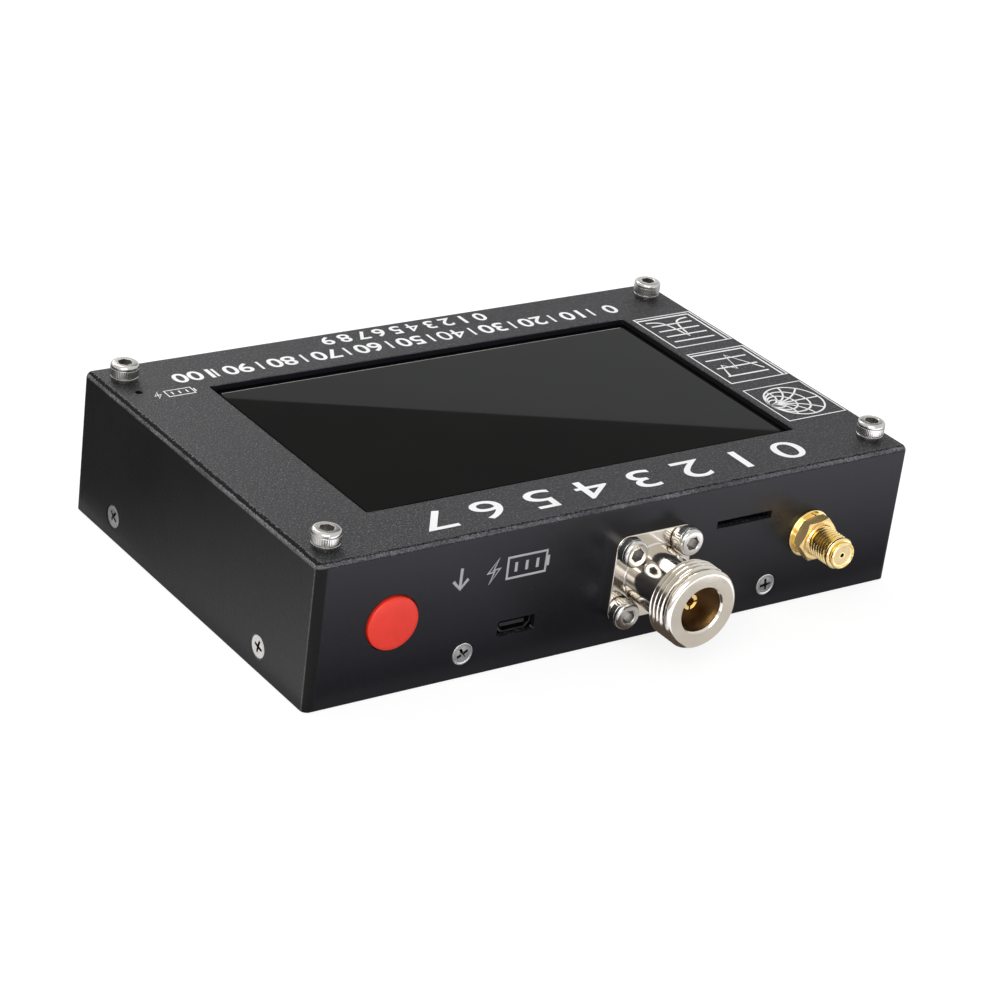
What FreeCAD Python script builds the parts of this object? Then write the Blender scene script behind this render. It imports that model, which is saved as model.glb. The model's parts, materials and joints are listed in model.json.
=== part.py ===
import FreeCAD, Part
import math
import os

import Sketcher
from FreeCAD import Placement, Rotation, Vector

# A hand-held antenna analyzer: a folded steel case with a touch display in its top, and an N socket, an SMA socket,
# a card slot, a charging socket and a power button in its front wall.
#
# Frame: +Z up, origin at the centre of the case's underside. The wall that holds the sockets looks along -Y, and +X
# is to the right of someone who looks at that wall. Millimetres.

SIZES = {
    # Case
    "case_length": 134.0,
    "case_depth": 85.0,
    "case_height": 29.0,
    "wall": 1.2,
    "edge_radius": 1.3,
    "cut_margin": 1.0,
    # Bottom tray
    "tray_clearance": 0.1,
    "lip_height": 7.5,
    "lip_end_gap": 5.0,
    "lip_collar_outer": 4.4,
    "lip_collar_height": 1.0,
    "tray_bend": 0.8,
    "lip_room_left": 5.9,
    "lip_room_right": 12.1,
    # Countersunk screws that hold the tray
    "wall_screw_level": 4.7,
    "front_screw_inset_left": 32.9,
    "front_screw_inset_right": 31.1,
    "end_screw_inset_front": 16.6,
    "end_screw_inset_back": 14.4,
    "wall_screw_shank": 2.5,
    "wall_screw_hole": 2.9,
    "wall_screw_head": 4.4,
    "wall_screw_head_height": 0.95,
    "wall_screw_length": 5.0,
    "wall_screw_inset": 0.25,
    "cross_length": 2.4,
    "cross_width": 0.55,
    "cross_depth": 0.7,
    # Cap screws at the corners, and the column below each one
    "corner_inset_x": 5.1,
    "corner_inset_y": 6.2,
    "cap_screw_shank": 3.0,
    "cap_screw_hole": 3.2,
    "cap_screw_head": 5.5,
    "cap_screw_band": 2.55,
    "cap_screw_edge": 0.45,
    "cap_screw_foot_step": 0.3,
    "corner_screw_foot": 0.95,
    "flange_screw_foot": 0.45,
    "hex_socket": 2.5,
    "hex_socket_depth": 1.5,
    "corner_screw_length": 12.0,
    "thread_play": 0.04,
    "spacer_length": 5.0,
    "spacer_outer": 6.0,
    "standoff_length": 10.0,
    "standoff_flats": 5.5,
    "pan_head": 5.6,
    "pan_head_height": 1.7,
    "pan_head_edge": 0.6,
    "board_screw_length": 6.0,
    # Circuit boards
    "board_margin_x": 1.1,
    "board_margin_y": 1.3,
    "board_thickness": 1.6,
    "board_corner": 2.0,
    "connector_notch_length": 21.4,
    "connector_notch_depth": 4.0,
    "button_notch_length": 14.4,
    "button_notch_depth": 2.0,
    "ribbon_notch_length": 28.0,
    "ribbon_notch_depth": 2.4,
    # Display
    "window_border_x": 3.75,
    "window_border_y": 5.55,
    "window_middle_x": 0.65,
    "window_middle_y": -0.25,
    "window_corner": 0.6,
    "display_margin_x": 14.25,
    "display_margin_y": 8.9,
    "gasket_thickness": 0.2,
    "gasket_width": 2.6,
    "touch_thickness": 1.5,
    "cell_thickness": 1.2,
    "frame_wall": 0.4,
    "frame_fit": 0.1,
    "ribbon_width": 25.0,
    "ribbon_thickness": 0.2,
    "ribbon_gap": 0.2,
    "ribbon_socket_length": 28.0,
    "ribbon_socket_depth": 5.0,
    "ribbon_socket_height": 2.0,
    "ribbon_socket_setback": 5.5,
    # Charging lamp
    "lamp_inset_x": 4.8,
    "lamp_inset_y": 12.6,
    "lamp_hole": 1.5,
    "lamp_outer": 3.0,
    "lamp_foot": 3.8,
    "lamp_foot_height": 0.8,
    "lamp_headroom": 0.3,
    "lamp_crest": 0.1,
    # Power button and its switch
    "button_inset": 16.6,
    "button_level": 14.6,
    "button_outer": 10.5,
    "button_hole": 11.0,
    "button_proud": 0.8,
    "button_crown": 0.35,
    "button_edge": 0.5,
    "button_collar": 12.6,
    "button_collar_thickness": 1.0,
    "button_play": 0.1,
    "button_boss": 6.0,
    "button_boss_length": 3.2,
    "plunger_outer": 3.3,
    "plunger_play": 0.1,
    "plunger_entry": 1.6,
    "switch_width": 7.0,
    "switch_depth": 6.5,
    "switch_height": 7.0,
    "switch_setback": 6.8,
    "switch_bore_depth": 3.0,
    # Charging socket
    "usb_inset": 43.9,
    "usb_width": 7.5,
    "usb_height": 2.6,
    "usb_depth": 5.6,
    "usb_bevel": 1.05,
    "usb_shell": 0.3,
    "usb_recess": 0.9,
    "usb_cutout_width": 8.2,
    "usb_cutout_height": 3.2,
    "usb_cutout_corner": 0.5,
    "usb_tongue_width": 5.4,
    "usb_tongue_thickness": 0.7,
    "usb_tongue_recess": 0.5,
    # Card socket
    "card_inset": 39.35,
    "card_socket_width": 14.4,
    "card_socket_depth": 15.0,
    "card_socket_height": 1.9,
    "card_shell": 0.25,
    "card_mouth_width": 11.4,
    "card_slot_width": 13.1,
    "card_slot_height": 1.6,
    "card_socket_setback": 0.3,
    # N socket
    "coax_x": 4.9,
    "connector_level": 14.5,
    "coax_flange": 17.6,
    "coax_flange_thickness": 2.2,
    "coax_flange_corner": 2.45,
    "coax_hole_pitch": 12.7,
    "coax_hole": 3.2,
    "coax_boss": 11.0,
    "coax_boss_clearance": 0.2,
    "coax_boss_proud": 1.1,
    "coax_neck": 12.0,
    "coax_reach": 17.6,
    "coax_barrel": 15.875,
    "coax_barrel_length": 5.9,
    "coax_rim": 13.3,
    "coax_rim_depth": 1.2,
    "coax_bore": 8.6,
    "coax_bore_depth": 10.0,
    "coax_insulator": 7.0,
    "coax_insulator_proud": 1.0,
    "coax_contact": 3.04,
    "coax_contact_recess": 3.5,
    "coax_contact_bore": 1.66,
    "coax_contact_bore_depth": 5.0,
    "coax_contact_slot": 0.35,
    "coax_contact_slot_depth": 3.5,
    "coax_pin": 1.6,
    "coax_pin_length": 4.0,
    "coax_screw_length": 8.0,
    "coax_nut_flats": 5.5,
    "coax_nut_height": 2.4,
    "fit_clearance": 0.03,
    "coax_strip_width": 2.6,
    "coax_strip_thickness": 0.4,
    "coax_strip_rise": 1.4,
    "coax_strip_foot": 3.0,
    "coax_strip_inset": 1.2,
    # SMA socket
    "sma_inset": 22.7,
    "sma_thread": 6.35,
    "sma_shank": 5.9,
    "sma_thread_start": 3.8,
    "sma_reach": 10.7,
    "sma_tip": 5.3,
    "sma_tip_depth": 0.5,
    "sma_block": 6.4,
    "sma_block_depth": 8.2,
    "sma_bore": 4.13,
    "sma_mouth": 4.7,
    "sma_mouth_depth": 0.4,
    "sma_contact": 1.27,
    "sma_contact_bore": 0.9,
    "sma_contact_bore_depth": 2.5,
    "sma_elbow": 4.9,
    "sma_drop": 3.0,
    "sma_leg": 1.0,
    "sma_leg_pitch": 5.08,
    "sma_leg_hole": 1.2,
    "leg_tail": 0.8,
    "sma_hole": 6.6,
    "sma_washer": 9.6,
    "sma_washer_thickness": 0.6,
    "sma_lock_washer": 8.4,
    "sma_lock_washer_thickness": 0.6,
    "sma_nut_flats": 8.0,
    "sma_nut_height": 2.4,
    "sma_nut_bevel": 0.35,
    # Parts on the boards
    "can_length": 40.0,
    "can_depth": 28.0,
    "can_height": 4.5,
    "can_wall": 0.3,
    "can_corner": 1.0,
    "can_x": 12.0,
    "can_y": -13.0,
    "can_chip": 7.0,
    "can_chip_height": 0.9,
    "can_chip_pitch": 14.0,
    "processor": 20.0,
    "processor_height": 1.4,
    "processor_x": -20.0,
    "processor_y": -8.0,
    "memory_length": 14.0,
    "memory_depth": 8.0,
    "memory_height": 1.1,
    "memory_x": -20.0,
    "memory_y": 10.0,
    "charger_chip": 5.0,
    "charger_chip_height": 1.3,
    "charger_chip_setback": 13.0,
    "header_length": 50.8,
    "header_depth": 5.0,
    "header_y": 20.0,
    "header_pins_height": 2.5,
    # Battery
    "battery_inset_left": 52.0,
    "battery_inset_right": 12.0,
    "battery_inset_front": 27.5,
    "battery_inset_back": 7.5,
    "battery_height": 6.0,
    "battery_edge": 1.5,
    "battery_tape_thickness": 0.3,
    "battery_tape_margin": 5.0,
    "plug_width": 6.0,
    "plug_height": 3.6,
    "plug_depth": 5.0,
    "battery_socket_width": 7.6,
    "battery_socket_height": 4.8,
    "battery_socket_depth": 7.0,
    "battery_socket_inset": 25.0,
    "lead_outer": 1.4,
    "lead_pitch": 2.0,
    "lead_level_drop": 2.6,
    "lead_straight": 2.5,
}


class Size:
    """A length as a number, with the formula that gives it from the sheet's cells."""

    def __init__(self, number, formula):
        self.number = number
        self.formula = formula

    def __add__(self, other):
        return Size(self.number + number_of(other), f"({self.formula} + {formula_of(other)})")

    def __radd__(self, other):
        return Size(number_of(other) + self.number, f"({formula_of(other)} + {self.formula})")

    def __sub__(self, other):
        return Size(self.number - number_of(other), f"({self.formula} - {formula_of(other)})")

    def __rsub__(self, other):
        return Size(number_of(other) - self.number, f"({formula_of(other)} - {self.formula})")

    def __mul__(self, other):
        return Size(self.number * number_of(other), f"({self.formula} * {formula_of(other)})")

    __rmul__ = __mul__

    def __truediv__(self, other):
        return Size(self.number / number_of(other), f"({self.formula} / {formula_of(other)})")

    def __neg__(self):
        return Size(-self.number, f"(0 - {self.formula})")


def number_of(value):
    return value.number if isinstance(value, Size) else float(value)


def formula_of(value):
    return value.formula if isinstance(value, Size) else repr(float(value))


class Sizes:
    """The sheet's cells as attributes, such as s.case_length."""


def make_sheet(doc):
    sheet = doc.addObject("Spreadsheet::Sheet", "sizes")
    sizes = Sizes()
    for row, (name, value) in enumerate(SIZES.items(), start=1):
        sheet.set(f"A{row}", name)
        sheet.set(f"B{row}", str(value))
        sheet.setAlias(f"B{row}", name)
        setattr(sizes, name, Size(value, f"sizes.{name}"))
    doc.recompute()
    return sizes


doc = FreeCAD.newDocument("antenna_analyzer")
s = make_sheet(doc)
parts = []

# ----------------------------------------------------------------------------------------------------------------
# Levels and faces that several pieces share
# ----------------------------------------------------------------------------------------------------------------

left_face = s.case_length / 2
front_face = s.case_depth / 2
inside_face = front_face - s.wall
ceiling = s.case_height - s.wall
board_length = s.case_length - 2 * (s.wall + s.board_margin_x)
board_depth = s.case_depth - 2 * (s.wall + s.board_margin_y)
display_length = s.case_length - 2 * s.display_margin_x
display_depth = s.case_depth - 2 * s.display_margin_y
window_length = display_length - 2 * s.window_border_x
window_depth = display_depth - 2 * s.window_border_y
lamp_x = s.lamp_inset_x - left_face
lamp_y = front_face - s.lamp_inset_y
button_x = s.button_inset - left_face
usb_x = s.usb_inset - left_face
card_x = left_face - s.card_inset
sma_x = left_face - s.sma_inset
battery_length = s.case_length - s.battery_inset_left - s.battery_inset_right
battery_depth = s.case_depth - s.battery_inset_front - s.battery_inset_back
battery_x = (s.battery_inset_left - s.battery_inset_right) / 2
battery_y = (s.battery_inset_front - s.battery_inset_back) / 2
battery_socket_x = s.battery_socket_inset - left_face
display_board_top = ceiling - s.spacer_length
display_board_bottom = display_board_top - s.board_thickness
main_board_top = display_board_bottom - s.standoff_length
main_board_bottom = main_board_top - s.board_thickness
board_edge = board_depth / 2
corner_x = left_face - s.corner_inset_x
corner_y = front_face - s.corner_inset_y
touch_top = ceiling - s.gasket_thickness
touch_bottom = touch_top - s.touch_thickness
cell_bottom = touch_bottom - s.cell_thickness
hex_corners = 2 / math.sqrt(3)
corner_signs = [(-1, -1), (1, -1), (1, 1), (-1, 1)]
corner_points = [(sx * corner_x, sy * corner_y) for sx, sy in corner_signs]
n_corner_points = [(sx * s.coax_hole_pitch / 2, sy * s.coax_hole_pitch / 2) for sx, sy in corner_signs]

# ----------------------------------------------------------------------------------------------------------------
# Ways of making things
# ----------------------------------------------------------------------------------------------------------------


def bind(thing, name, value):
    """Set a property, and bind it to the sheet where its value comes from there."""
    if isinstance(value, Size):
        thing.setExpression(name, value.formula)
    else:
        setattr(thing, name, value)


def place(thing, x=0, y=0, z=0, turn=None):
    """Put a thing at a point of the part's frame, bound to the sheet, and turned by a fixed rotation."""
    thing.Placement = Placement(Vector(number_of(x), number_of(y), number_of(z)), turn or Rotation())
    for axis, value in zip("xyz", (x, y, z)):
        if isinstance(value, Size):
            thing.setExpression(f"Placement.Base.{axis}", value.formula)


def keep(thing, label):
    """Name a finished piece: its label is the name of its file."""
    thing.Label = label
    parts.append(thing)
    return thing


def new_body(name):
    return doc.addObject("PartDesign::Body", name + "_body")


def new_sketch(body, plane, x=0, y=0, z=0):
    """A sketch on one of the body's own planes, moved within the plane by x and y and off it by z."""
    sketch = body.newObject("Sketcher::SketchObject", body.Name + "_sketch")
    origin_plane = next(f for f in body.Origin.OriginFeatures if f.Role == plane)
    sketch.AttachmentSupport = [(origin_plane, "")]
    sketch.MapMode = "FlatFace"
    offset = Vector(number_of(x), number_of(y), number_of(z))
    sketch.AttachmentOffset = Placement(offset, Rotation())
    for axis, value in zip("xyz", (x, y, z)):
        if isinstance(value, Size):
            sketch.setExpression(f"AttachmentOffset.Base.{axis}", value.formula)
    return sketch


def constrain(sketch, value, *constraint):
    index = sketch.addConstraint(Sketcher.Constraint(*constraint, abs(number_of(value))))
    if isinstance(value, Size):
        bound = value if value.number > 0 else -value
        sketch.setExpression(f"Constraints[{index}]", bound.formula)


def fix_point(sketch, geometry, end, x, y):
    """Hold a sketch point at x and y from the sketch's origin."""
    for value, kind, axis in ((x, "DistanceX", -2), (y, "DistanceY", -1)):
        if number_of(value) == 0:
            sketch.addConstraint(Sketcher.Constraint("PointOnObject", geometry, end, axis))
        elif number_of(value) > 0:
            constrain(sketch, value, kind, -1, 1, geometry, end)
        else:
            constrain(sketch, value, kind, geometry, end, -1, 1)


def polygon(sketch, points):
    """A closed outline of straight lines through points whose places are bound to the sheet."""
    places = [Vector(number_of(x), number_of(y), 0) for x, y in points]
    first = sketch.GeometryCount
    count = len(points)
    for i in range(count):
        sketch.addGeometry(Part.LineSegment(places[i], places[(i + 1) % count]))
    for i in range(count):
        sketch.addConstraint(Sketcher.Constraint("Coincident", first + i, 2, first + (i + 1) % count, 1))
    for i, (x, y) in enumerate(points):
        fix_point(sketch, first + i, 1, x, y)


def rectangle(sketch, length, depth, x=0, y=0):
    low_x, high_x = x - length / 2, x + length / 2
    low_y, high_y = y - depth / 2, y + depth / 2
    polygon(sketch, [(low_x, low_y), (high_x, low_y), (high_x, high_y), (low_x, high_y)])


def circle(sketch, diameter, x=0, y=0):
    centre = Vector(number_of(x), number_of(y), 0)
    index = sketch.addGeometry(Part.Circle(centre, Vector(0, 0, 1), number_of(diameter) / 2))
    fix_point(sketch, index, 3, x, y)
    constrain(sketch, diameter, "Diameter", index)


def hexagon(sketch, flats):
    """A regular hexagon round the sketch's origin, by the distance across its flats."""
    corners = []
    for i in range(6):
        angle = math.radians(60 * i)
        corner = [round(hex_corners / 2 * f(angle), 9) for f in (math.cos, math.sin)]
        corners.append(tuple(flats * c if c else 0 for c in corner))
    polygon(sketch, corners)


def add(body, kind, sketch, **values):
    """Add a feature to a body, made from a sketch, with its values bound to the sheet."""
    feature = body.newObject("PartDesign::" + kind, f"{body.Name}_{kind.lower()}")
    feature.Profile = sketch
    sketch.Visibility = False
    for name, value in values.items():
        bind(feature, name, value)
    doc.recompute()
    return feature


def turn(body, sketch, kind="Revolution"):
    """Turn a sketch about its own upright axis, to add or to cut."""
    return add(body, kind, sketch, ReferenceAxis=(sketch, ["V_Axis"]), Angle=360.0)


def edges_of(shape, test):
    return [f"Edge{i}" for i, edge in enumerate(shape.Edges, start=1) if test(edge)]


def dress(body, kind, test, **values):
    """Round or bevel the edges of a body's last feature that pass a test."""
    last = body.Tip
    feature = body.newObject("PartDesign::" + kind, f"{body.Name}_{kind.lower()}")
    names = edges_of(last.Shape, test)
    if not names:
        raise ValueError(f"{body.Name} has no edge to give a {kind}")
    feature.Base = (last, names)
    for name, value in values.items():
        bind(feature, name, value)
    doc.recompute()
    return feature


def near(a, b):
    return abs(number_of(a) - number_of(b)) < 1e-4


def curve_of(edge):
    """The edge's curve, or nothing where the edge has shrunk to a point."""
    return None if edge.Degenerated else edge.Curve


def straight(edge, axis):
    """Whether an edge is a straight one along an axis."""
    if not isinstance(curve_of(edge), (Part.Line, Part.LineSegment)):
        return False
    return abs(getattr(edge.tangentAt(edge.FirstParameter), axis)) > 1 - 1e-6


def all_at(edge, axis, value):
    """Whether the whole edge lies in the plane where one coordinate has a value."""
    box = edge.BoundBox
    low, high = {"x": (box.XMin, box.XMax), "y": (box.YMin, box.YMax), "z": (box.ZMin, box.ZMax)}[axis]
    return near(low, value) and near(high, value)


def round_edge(edge, diameter):
    return isinstance(curve_of(edge), Part.Circle) and near(edge.Curve.Radius, number_of(diameter) / 2)


def group(label, source, placements):
    """Repeat one piece at several places, as one group of separate solids."""
    links = []
    for x, y, z, rotation in placements:
        link = doc.addObject("App::Link", label + "_copy")
        link.LinkedObject = source
        place(link, x, y, z, rotation)
        links.append(link)
    compound = doc.addObject("Part::Compound", label + "_group")
    compound.Links = links
    return keep(compound, label)


def box(name, length, depth, height, x=0, y=0, z=0):
    """A box with the middle of its underside at a point."""
    block = doc.addObject("Part::Box", name)
    bind(block, "Length", length)
    bind(block, "Width", depth)
    bind(block, "Height", height)
    place(block, x - length / 2, y - depth / 2, z)
    return block


def rod(name, diameter, length, x=0, y=0, z=0, turn_to=None):
    """A cylinder from a point along Z, or along where the rotation takes Z."""
    cylinder = doc.addObject("Part::Cylinder", name)
    bind(cylinder, "Radius", diameter / 2)
    bind(cylinder, "Height", length)
    place(cylinder, x, y, z, turn_to)
    return cylinder


def joined(kind, name, base, tool):
    result = doc.addObject("Part::" + kind, name)
    result.Base = base
    result.Tool = tool
    return result


along_front = Rotation(Vector(1, 0, 0), 90)
along_back = Rotation(Vector(1, 0, 0), -90)
along_right = Rotation(Vector(0, 1, 0), 90)
along_left = Rotation(Vector(0, 1, 0), -90)
upside_down = Rotation(Vector(1, 0, 0), 180)

# ----------------------------------------------------------------------------------------------------------------
# Case
# ----------------------------------------------------------------------------------------------------------------

usb_level = main_board_bottom - s.usb_height / 2
card_level = display_board_bottom - s.card_socket_height / 2
front_screws = [s.front_screw_inset_left - left_face, left_face - s.front_screw_inset_right]
end_screws = [s.end_screw_inset_front - front_face, front_face - s.end_screw_inset_back]


def make_top_cover():
    """Top and four walls of steel sheet, bent at the top edges and closed at the corners."""
    body = new_body("top_cover")
    outline = new_sketch(body, "XY_Plane")
    rectangle(outline, s.case_length, s.case_depth)
    add(body, "Pad", outline, Length=s.case_height)
    dress(body, "Fillet", lambda e: straight(e, "z") or all_at(e, "z", s.case_height), Radius=s.edge_radius)
    hollow = new_sketch(body, "XY_Plane")
    rectangle(hollow, s.case_length - 2 * s.wall, s.case_depth - 2 * s.wall)
    add(body, "Pocket", hollow, Length=ceiling, Reversed=True)
    window = new_sketch(body, "XY_Plane", z=s.case_height)
    rectangle(window, window_length, window_depth, s.window_middle_x, s.window_middle_y)
    add(body, "Pocket", window, Length=s.wall + s.cut_margin)
    dress(body, "Fillet", lambda e: straight(e, "z") and near(e.Length, s.wall), Radius=s.window_corner)
    top_holes = new_sketch(body, "XY_Plane", z=s.case_height)
    for x, y in corner_points:
        circle(top_holes, s.cap_screw_hole, x, y)
    circle(top_holes, s.lamp_hole, lamp_x, lamp_y)
    add(body, "Pocket", top_holes, Length=s.wall + s.cut_margin)
    front_holes = new_sketch(body, "XZ_Plane", z=front_face)
    circle(front_holes, s.button_hole, button_x, s.button_level)
    circle(front_holes, s.sma_hole, sma_x, s.connector_level)
    circle(front_holes, s.coax_boss + 2 * s.coax_boss_clearance, s.coax_x, s.connector_level)
    for x, z in n_corner_points:
        circle(front_holes, s.coax_hole, s.coax_x + x, s.connector_level + z)
    rectangle(front_holes, s.usb_cutout_width, s.usb_cutout_height, usb_x, usb_level)
    rectangle(front_holes, s.card_slot_width, s.card_slot_height, card_x, card_level)
    add(body, "Pocket", front_holes, Length=s.wall + s.cut_margin)

    def usb_corner(edge):
        off_middle = abs(edge.CenterOfMass.x - usb_x.number)
        return straight(edge, "y") and near(edge.Length, s.wall) and near(off_middle, s.usb_cutout_width / 2)

    dress(body, "Fillet", usb_corner, Radius=s.usb_cutout_corner)
    across = new_sketch(body, "XZ_Plane", z=front_face)
    for x in front_screws:
        circle(across, s.wall_screw_hole, x, s.wall_screw_level)
    add(body, "Pocket", across, Length=s.case_depth)
    along = new_sketch(body, "YZ_Plane", z=left_face)
    for y in end_screws:
        circle(along, s.wall_screw_hole, y, s.wall_screw_level)
    add(body, "Pocket", along, Length=s.case_length)

    def outer_rim(edge):
        at_outside = [all_at(edge, axis, sign * face) for sign in (-1, 1)
                      for axis, face in (("x", left_face), ("y", front_face))]
        return round_edge(edge, s.wall_screw_hole) and any(at_outside)

    dress(body, "Chamfer", outer_rim, Size=s.wall_screw_head / 2 + s.wall_screw_inset - s.wall_screw_hole / 2)
    keep(body, "top_cover")


tray_x = left_face - s.wall - s.tray_clearance
tray_y = front_face - s.wall - s.tray_clearance
lip_x = tray_x - s.wall
lip_y = tray_y - s.wall


def span(low, high):
    """The length and the middle of a stretch between two places."""
    return high - low, (low + high) / 2


def make_bottom_tray():
    """Floor plate with lips bent up inside the walls, and a threaded collar in a lip for each screw."""
    body = new_body("bottom_tray")
    floor = new_sketch(body, "XY_Plane")
    rectangle(floor, 2 * tray_x, 2 * tray_y)
    add(body, "Pad", floor, Length=s.wall)
    lips = new_sketch(body, "XY_Plane")
    lip_mid_y = (tray_y + lip_y) / 2
    lip_mid_x = (tray_x + lip_x) / 2
    end_x = tray_x - s.lip_end_gap
    end_y = tray_y - s.lip_end_gap
    rectangle(lips, 2 * end_x, s.wall, 0, lip_mid_y)
    for low, high in ((-end_x, usb_x - s.lip_room_left), (s.coax_x + s.lip_room_right, end_x)):
        length, middle = span(low, high)
        rectangle(lips, length, s.wall, middle, -lip_mid_y)
    for side in (-1, 1):
        rectangle(lips, s.wall, 2 * end_y, side * lip_mid_x, 0)
    add(body, "Pad", lips, Length=s.lip_height)
    dress(body, "Fillet", lambda e: all_at(e, "z", 0), Radius=s.tray_bend)
    for plane, offset, reach, places in (
        ("XZ_Plane", lip_y, True, front_screws),
        ("XZ_Plane", -lip_y, False, front_screws),
        ("YZ_Plane", lip_x, True, end_screws),
        ("YZ_Plane", -lip_x, False, end_screws),
    ):
        collars = new_sketch(body, plane, z=offset)
        for place_along in places:
            circle(collars, s.lip_collar_outer, place_along, s.wall_screw_level)
        add(body, "Pad", collars, Length=s.lip_collar_height, Reversed=reach)
    thread = s.wall_screw_shank + 2 * s.thread_play
    across = new_sketch(body, "XZ_Plane", z=tray_y)
    for x in front_screws:
        circle(across, thread, x, s.wall_screw_level)
    add(body, "Pocket", across, Length=2 * tray_y)
    along = new_sketch(body, "YZ_Plane", z=tray_x)
    for y in end_screws:
        circle(along, thread, y, s.wall_screw_level)
    add(body, "Pocket", along, Length=2 * tray_x)
    keep(body, "bottom_tray")


# ----------------------------------------------------------------------------------------------------------------
# Screws, spacers and nuts
# ----------------------------------------------------------------------------------------------------------------


def cut_cross(body, top):
    """The crossed recess in a screw's head, from its top down."""
    for length, width in ((s.cross_length, s.cross_width), (s.cross_width, s.cross_length)):
        recess = new_sketch(body, "XY_Plane", z=top)
        rectangle(recess, length, width)
        add(body, "Pocket", recess, Length=s.cross_depth)


def make_side_screws():
    """Countersunk screws through the walls into the tray's lips; the head's face is at the body's origin."""
    body = new_body("side_screw")
    profile = new_sketch(body, "XZ_Plane")
    polygon(profile, [
        (0, 0),
        (s.wall_screw_head / 2, 0),
        (s.wall_screw_shank / 2, -s.wall_screw_head_height),
        (s.wall_screw_shank / 2, -s.wall_screw_length),
        (0, -s.wall_screw_length),
    ])
    turn(body, profile)
    cut_cross(body, 0)
    sunk_y = front_face - s.wall_screw_inset
    sunk_x = left_face - s.wall_screw_inset
    places = [(x, -sunk_y, s.wall_screw_level, along_front) for x in front_screws]
    places += [(x, sunk_y, s.wall_screw_level, along_back) for x in front_screws]
    places += [(-sunk_x, y, s.wall_screw_level, along_left) for y in end_screws]
    places += [(sunk_x, y, s.wall_screw_level, along_right) for y in end_screws]
    group("side_screws", body, places)


def make_cap_screw(name, length, foot_height):
    """A socket-head screw whose head stands on the body's origin, on a narrower foot."""
    body = new_body(name)
    crest = foot_height + s.cap_screw_band
    profile = new_sketch(body, "XZ_Plane")
    foot = s.cap_screw_head / 2 - s.cap_screw_foot_step
    polygon(profile, [
        (0, -length),
        (s.cap_screw_shank / 2, -length),
        (s.cap_screw_shank / 2, 0),
        (foot, 0),
        (foot, foot_height),
        (s.cap_screw_head / 2, foot_height),
        (s.cap_screw_head / 2, crest),
        (0, crest),
    ])
    turn(body, profile)
    dress(body, "Fillet", lambda e: all_at(e, "z", crest), Radius=s.cap_screw_edge)
    socket = new_sketch(body, "XY_Plane", z=crest)
    hexagon(socket, s.hex_socket)
    add(body, "Pocket", socket, Length=s.hex_socket_depth)
    return body


def make_board_screws():
    """Pan-head screws from below the main board into the standoffs."""
    body = new_body("board_screw")
    profile = new_sketch(body, "XZ_Plane")
    polygon(profile, [
        (0, -s.board_screw_length),
        (s.cap_screw_shank / 2, -s.board_screw_length),
        (s.cap_screw_shank / 2, 0),
        (s.pan_head / 2, 0),
        (s.pan_head / 2, s.pan_head_height),
        (0, s.pan_head_height),
    ])
    turn(body, profile)
    dress(body, "Fillet", lambda e: all_at(e, "z", s.pan_head_height), Radius=s.pan_head_edge)
    cut_cross(body, s.pan_head_height)
    group("board_screws", body, [(x, y, main_board_bottom, upside_down) for x, y in corner_points])


def make_tube(name, outline, outer, inner, length):
    """A round or hexagonal piece with a hole through it, standing on the body's origin."""
    body = new_body(name)
    sketch = new_sketch(body, "XY_Plane")
    outline(sketch, outer)
    circle(sketch, inner)
    add(body, "Pad", sketch, Length=length)
    return body


def make_columns():
    """At each corner: a cap screw through the top, a spacer and the display board into a hexagonal standoff."""
    threaded = s.cap_screw_shank + 2 * s.thread_play
    screw = make_cap_screw("corner_screw", s.corner_screw_length, s.corner_screw_foot)
    group("corner_cap_screws", screw, [(x, y, s.case_height, None) for x, y in corner_points])
    spacer = make_tube("spacer", circle, s.spacer_outer, s.cap_screw_hole, s.spacer_length)
    group("upper_spacers", spacer, [(x, y, display_board_top, None) for x, y in corner_points])
    standoff = make_tube("standoff", hexagon, s.standoff_flats, threaded, s.standoff_length)
    group("hex_standoffs", standoff, [(x, y, main_board_top, None) for x, y in corner_points])


# ----------------------------------------------------------------------------------------------------------------
# Circuit boards and the parts on them
# ----------------------------------------------------------------------------------------------------------------

leg_y = -inside_face + s.sma_elbow


def make_board(label, level, notches, holes):
    """A board with round corners, a hole for each column, notches in its edges and further holes."""
    body = new_body(label)
    outline = new_sketch(body, "XY_Plane", z=level)
    rectangle(outline, board_length, board_depth)
    add(body, "Pad", outline, Length=s.board_thickness)
    dress(body, "Fillet", lambda e: straight(e, "z"), Radius=s.board_corner)
    cuts = new_sketch(body, "XY_Plane", z=level)
    for length, depth, x, side in notches:
        rectangle(cuts, length, depth, x, side * (board_edge - depth / 2))
    for x, y in corner_points:
        circle(cuts, s.cap_screw_hole, x, y)
    for diameter, x, y in holes:
        circle(cuts, diameter, x, y)
    add(body, "Pocket", cuts, Length=s.board_thickness, Reversed=True)
    keep(body, label)


def make_boards():
    connector_notch = (s.connector_notch_length, s.connector_notch_depth, s.coax_x, -1)
    button_notch = (s.button_notch_length, s.button_notch_depth, button_x, -1)
    ribbon_notch = (s.ribbon_notch_length, s.ribbon_notch_depth, s.window_middle_x, 1)
    legs = [(s.sma_leg_hole, sma_x + sx * s.sma_leg_pitch / 2, leg_y + sy * s.sma_leg_pitch / 2)
            for sx, sy in corner_signs]
    legs.append((s.sma_leg_hole, sma_x, leg_y))
    make_board("display_board", display_board_bottom, [connector_notch, ribbon_notch], [])
    make_board("main_board", main_board_bottom, [connector_notch, button_notch], legs)


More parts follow.
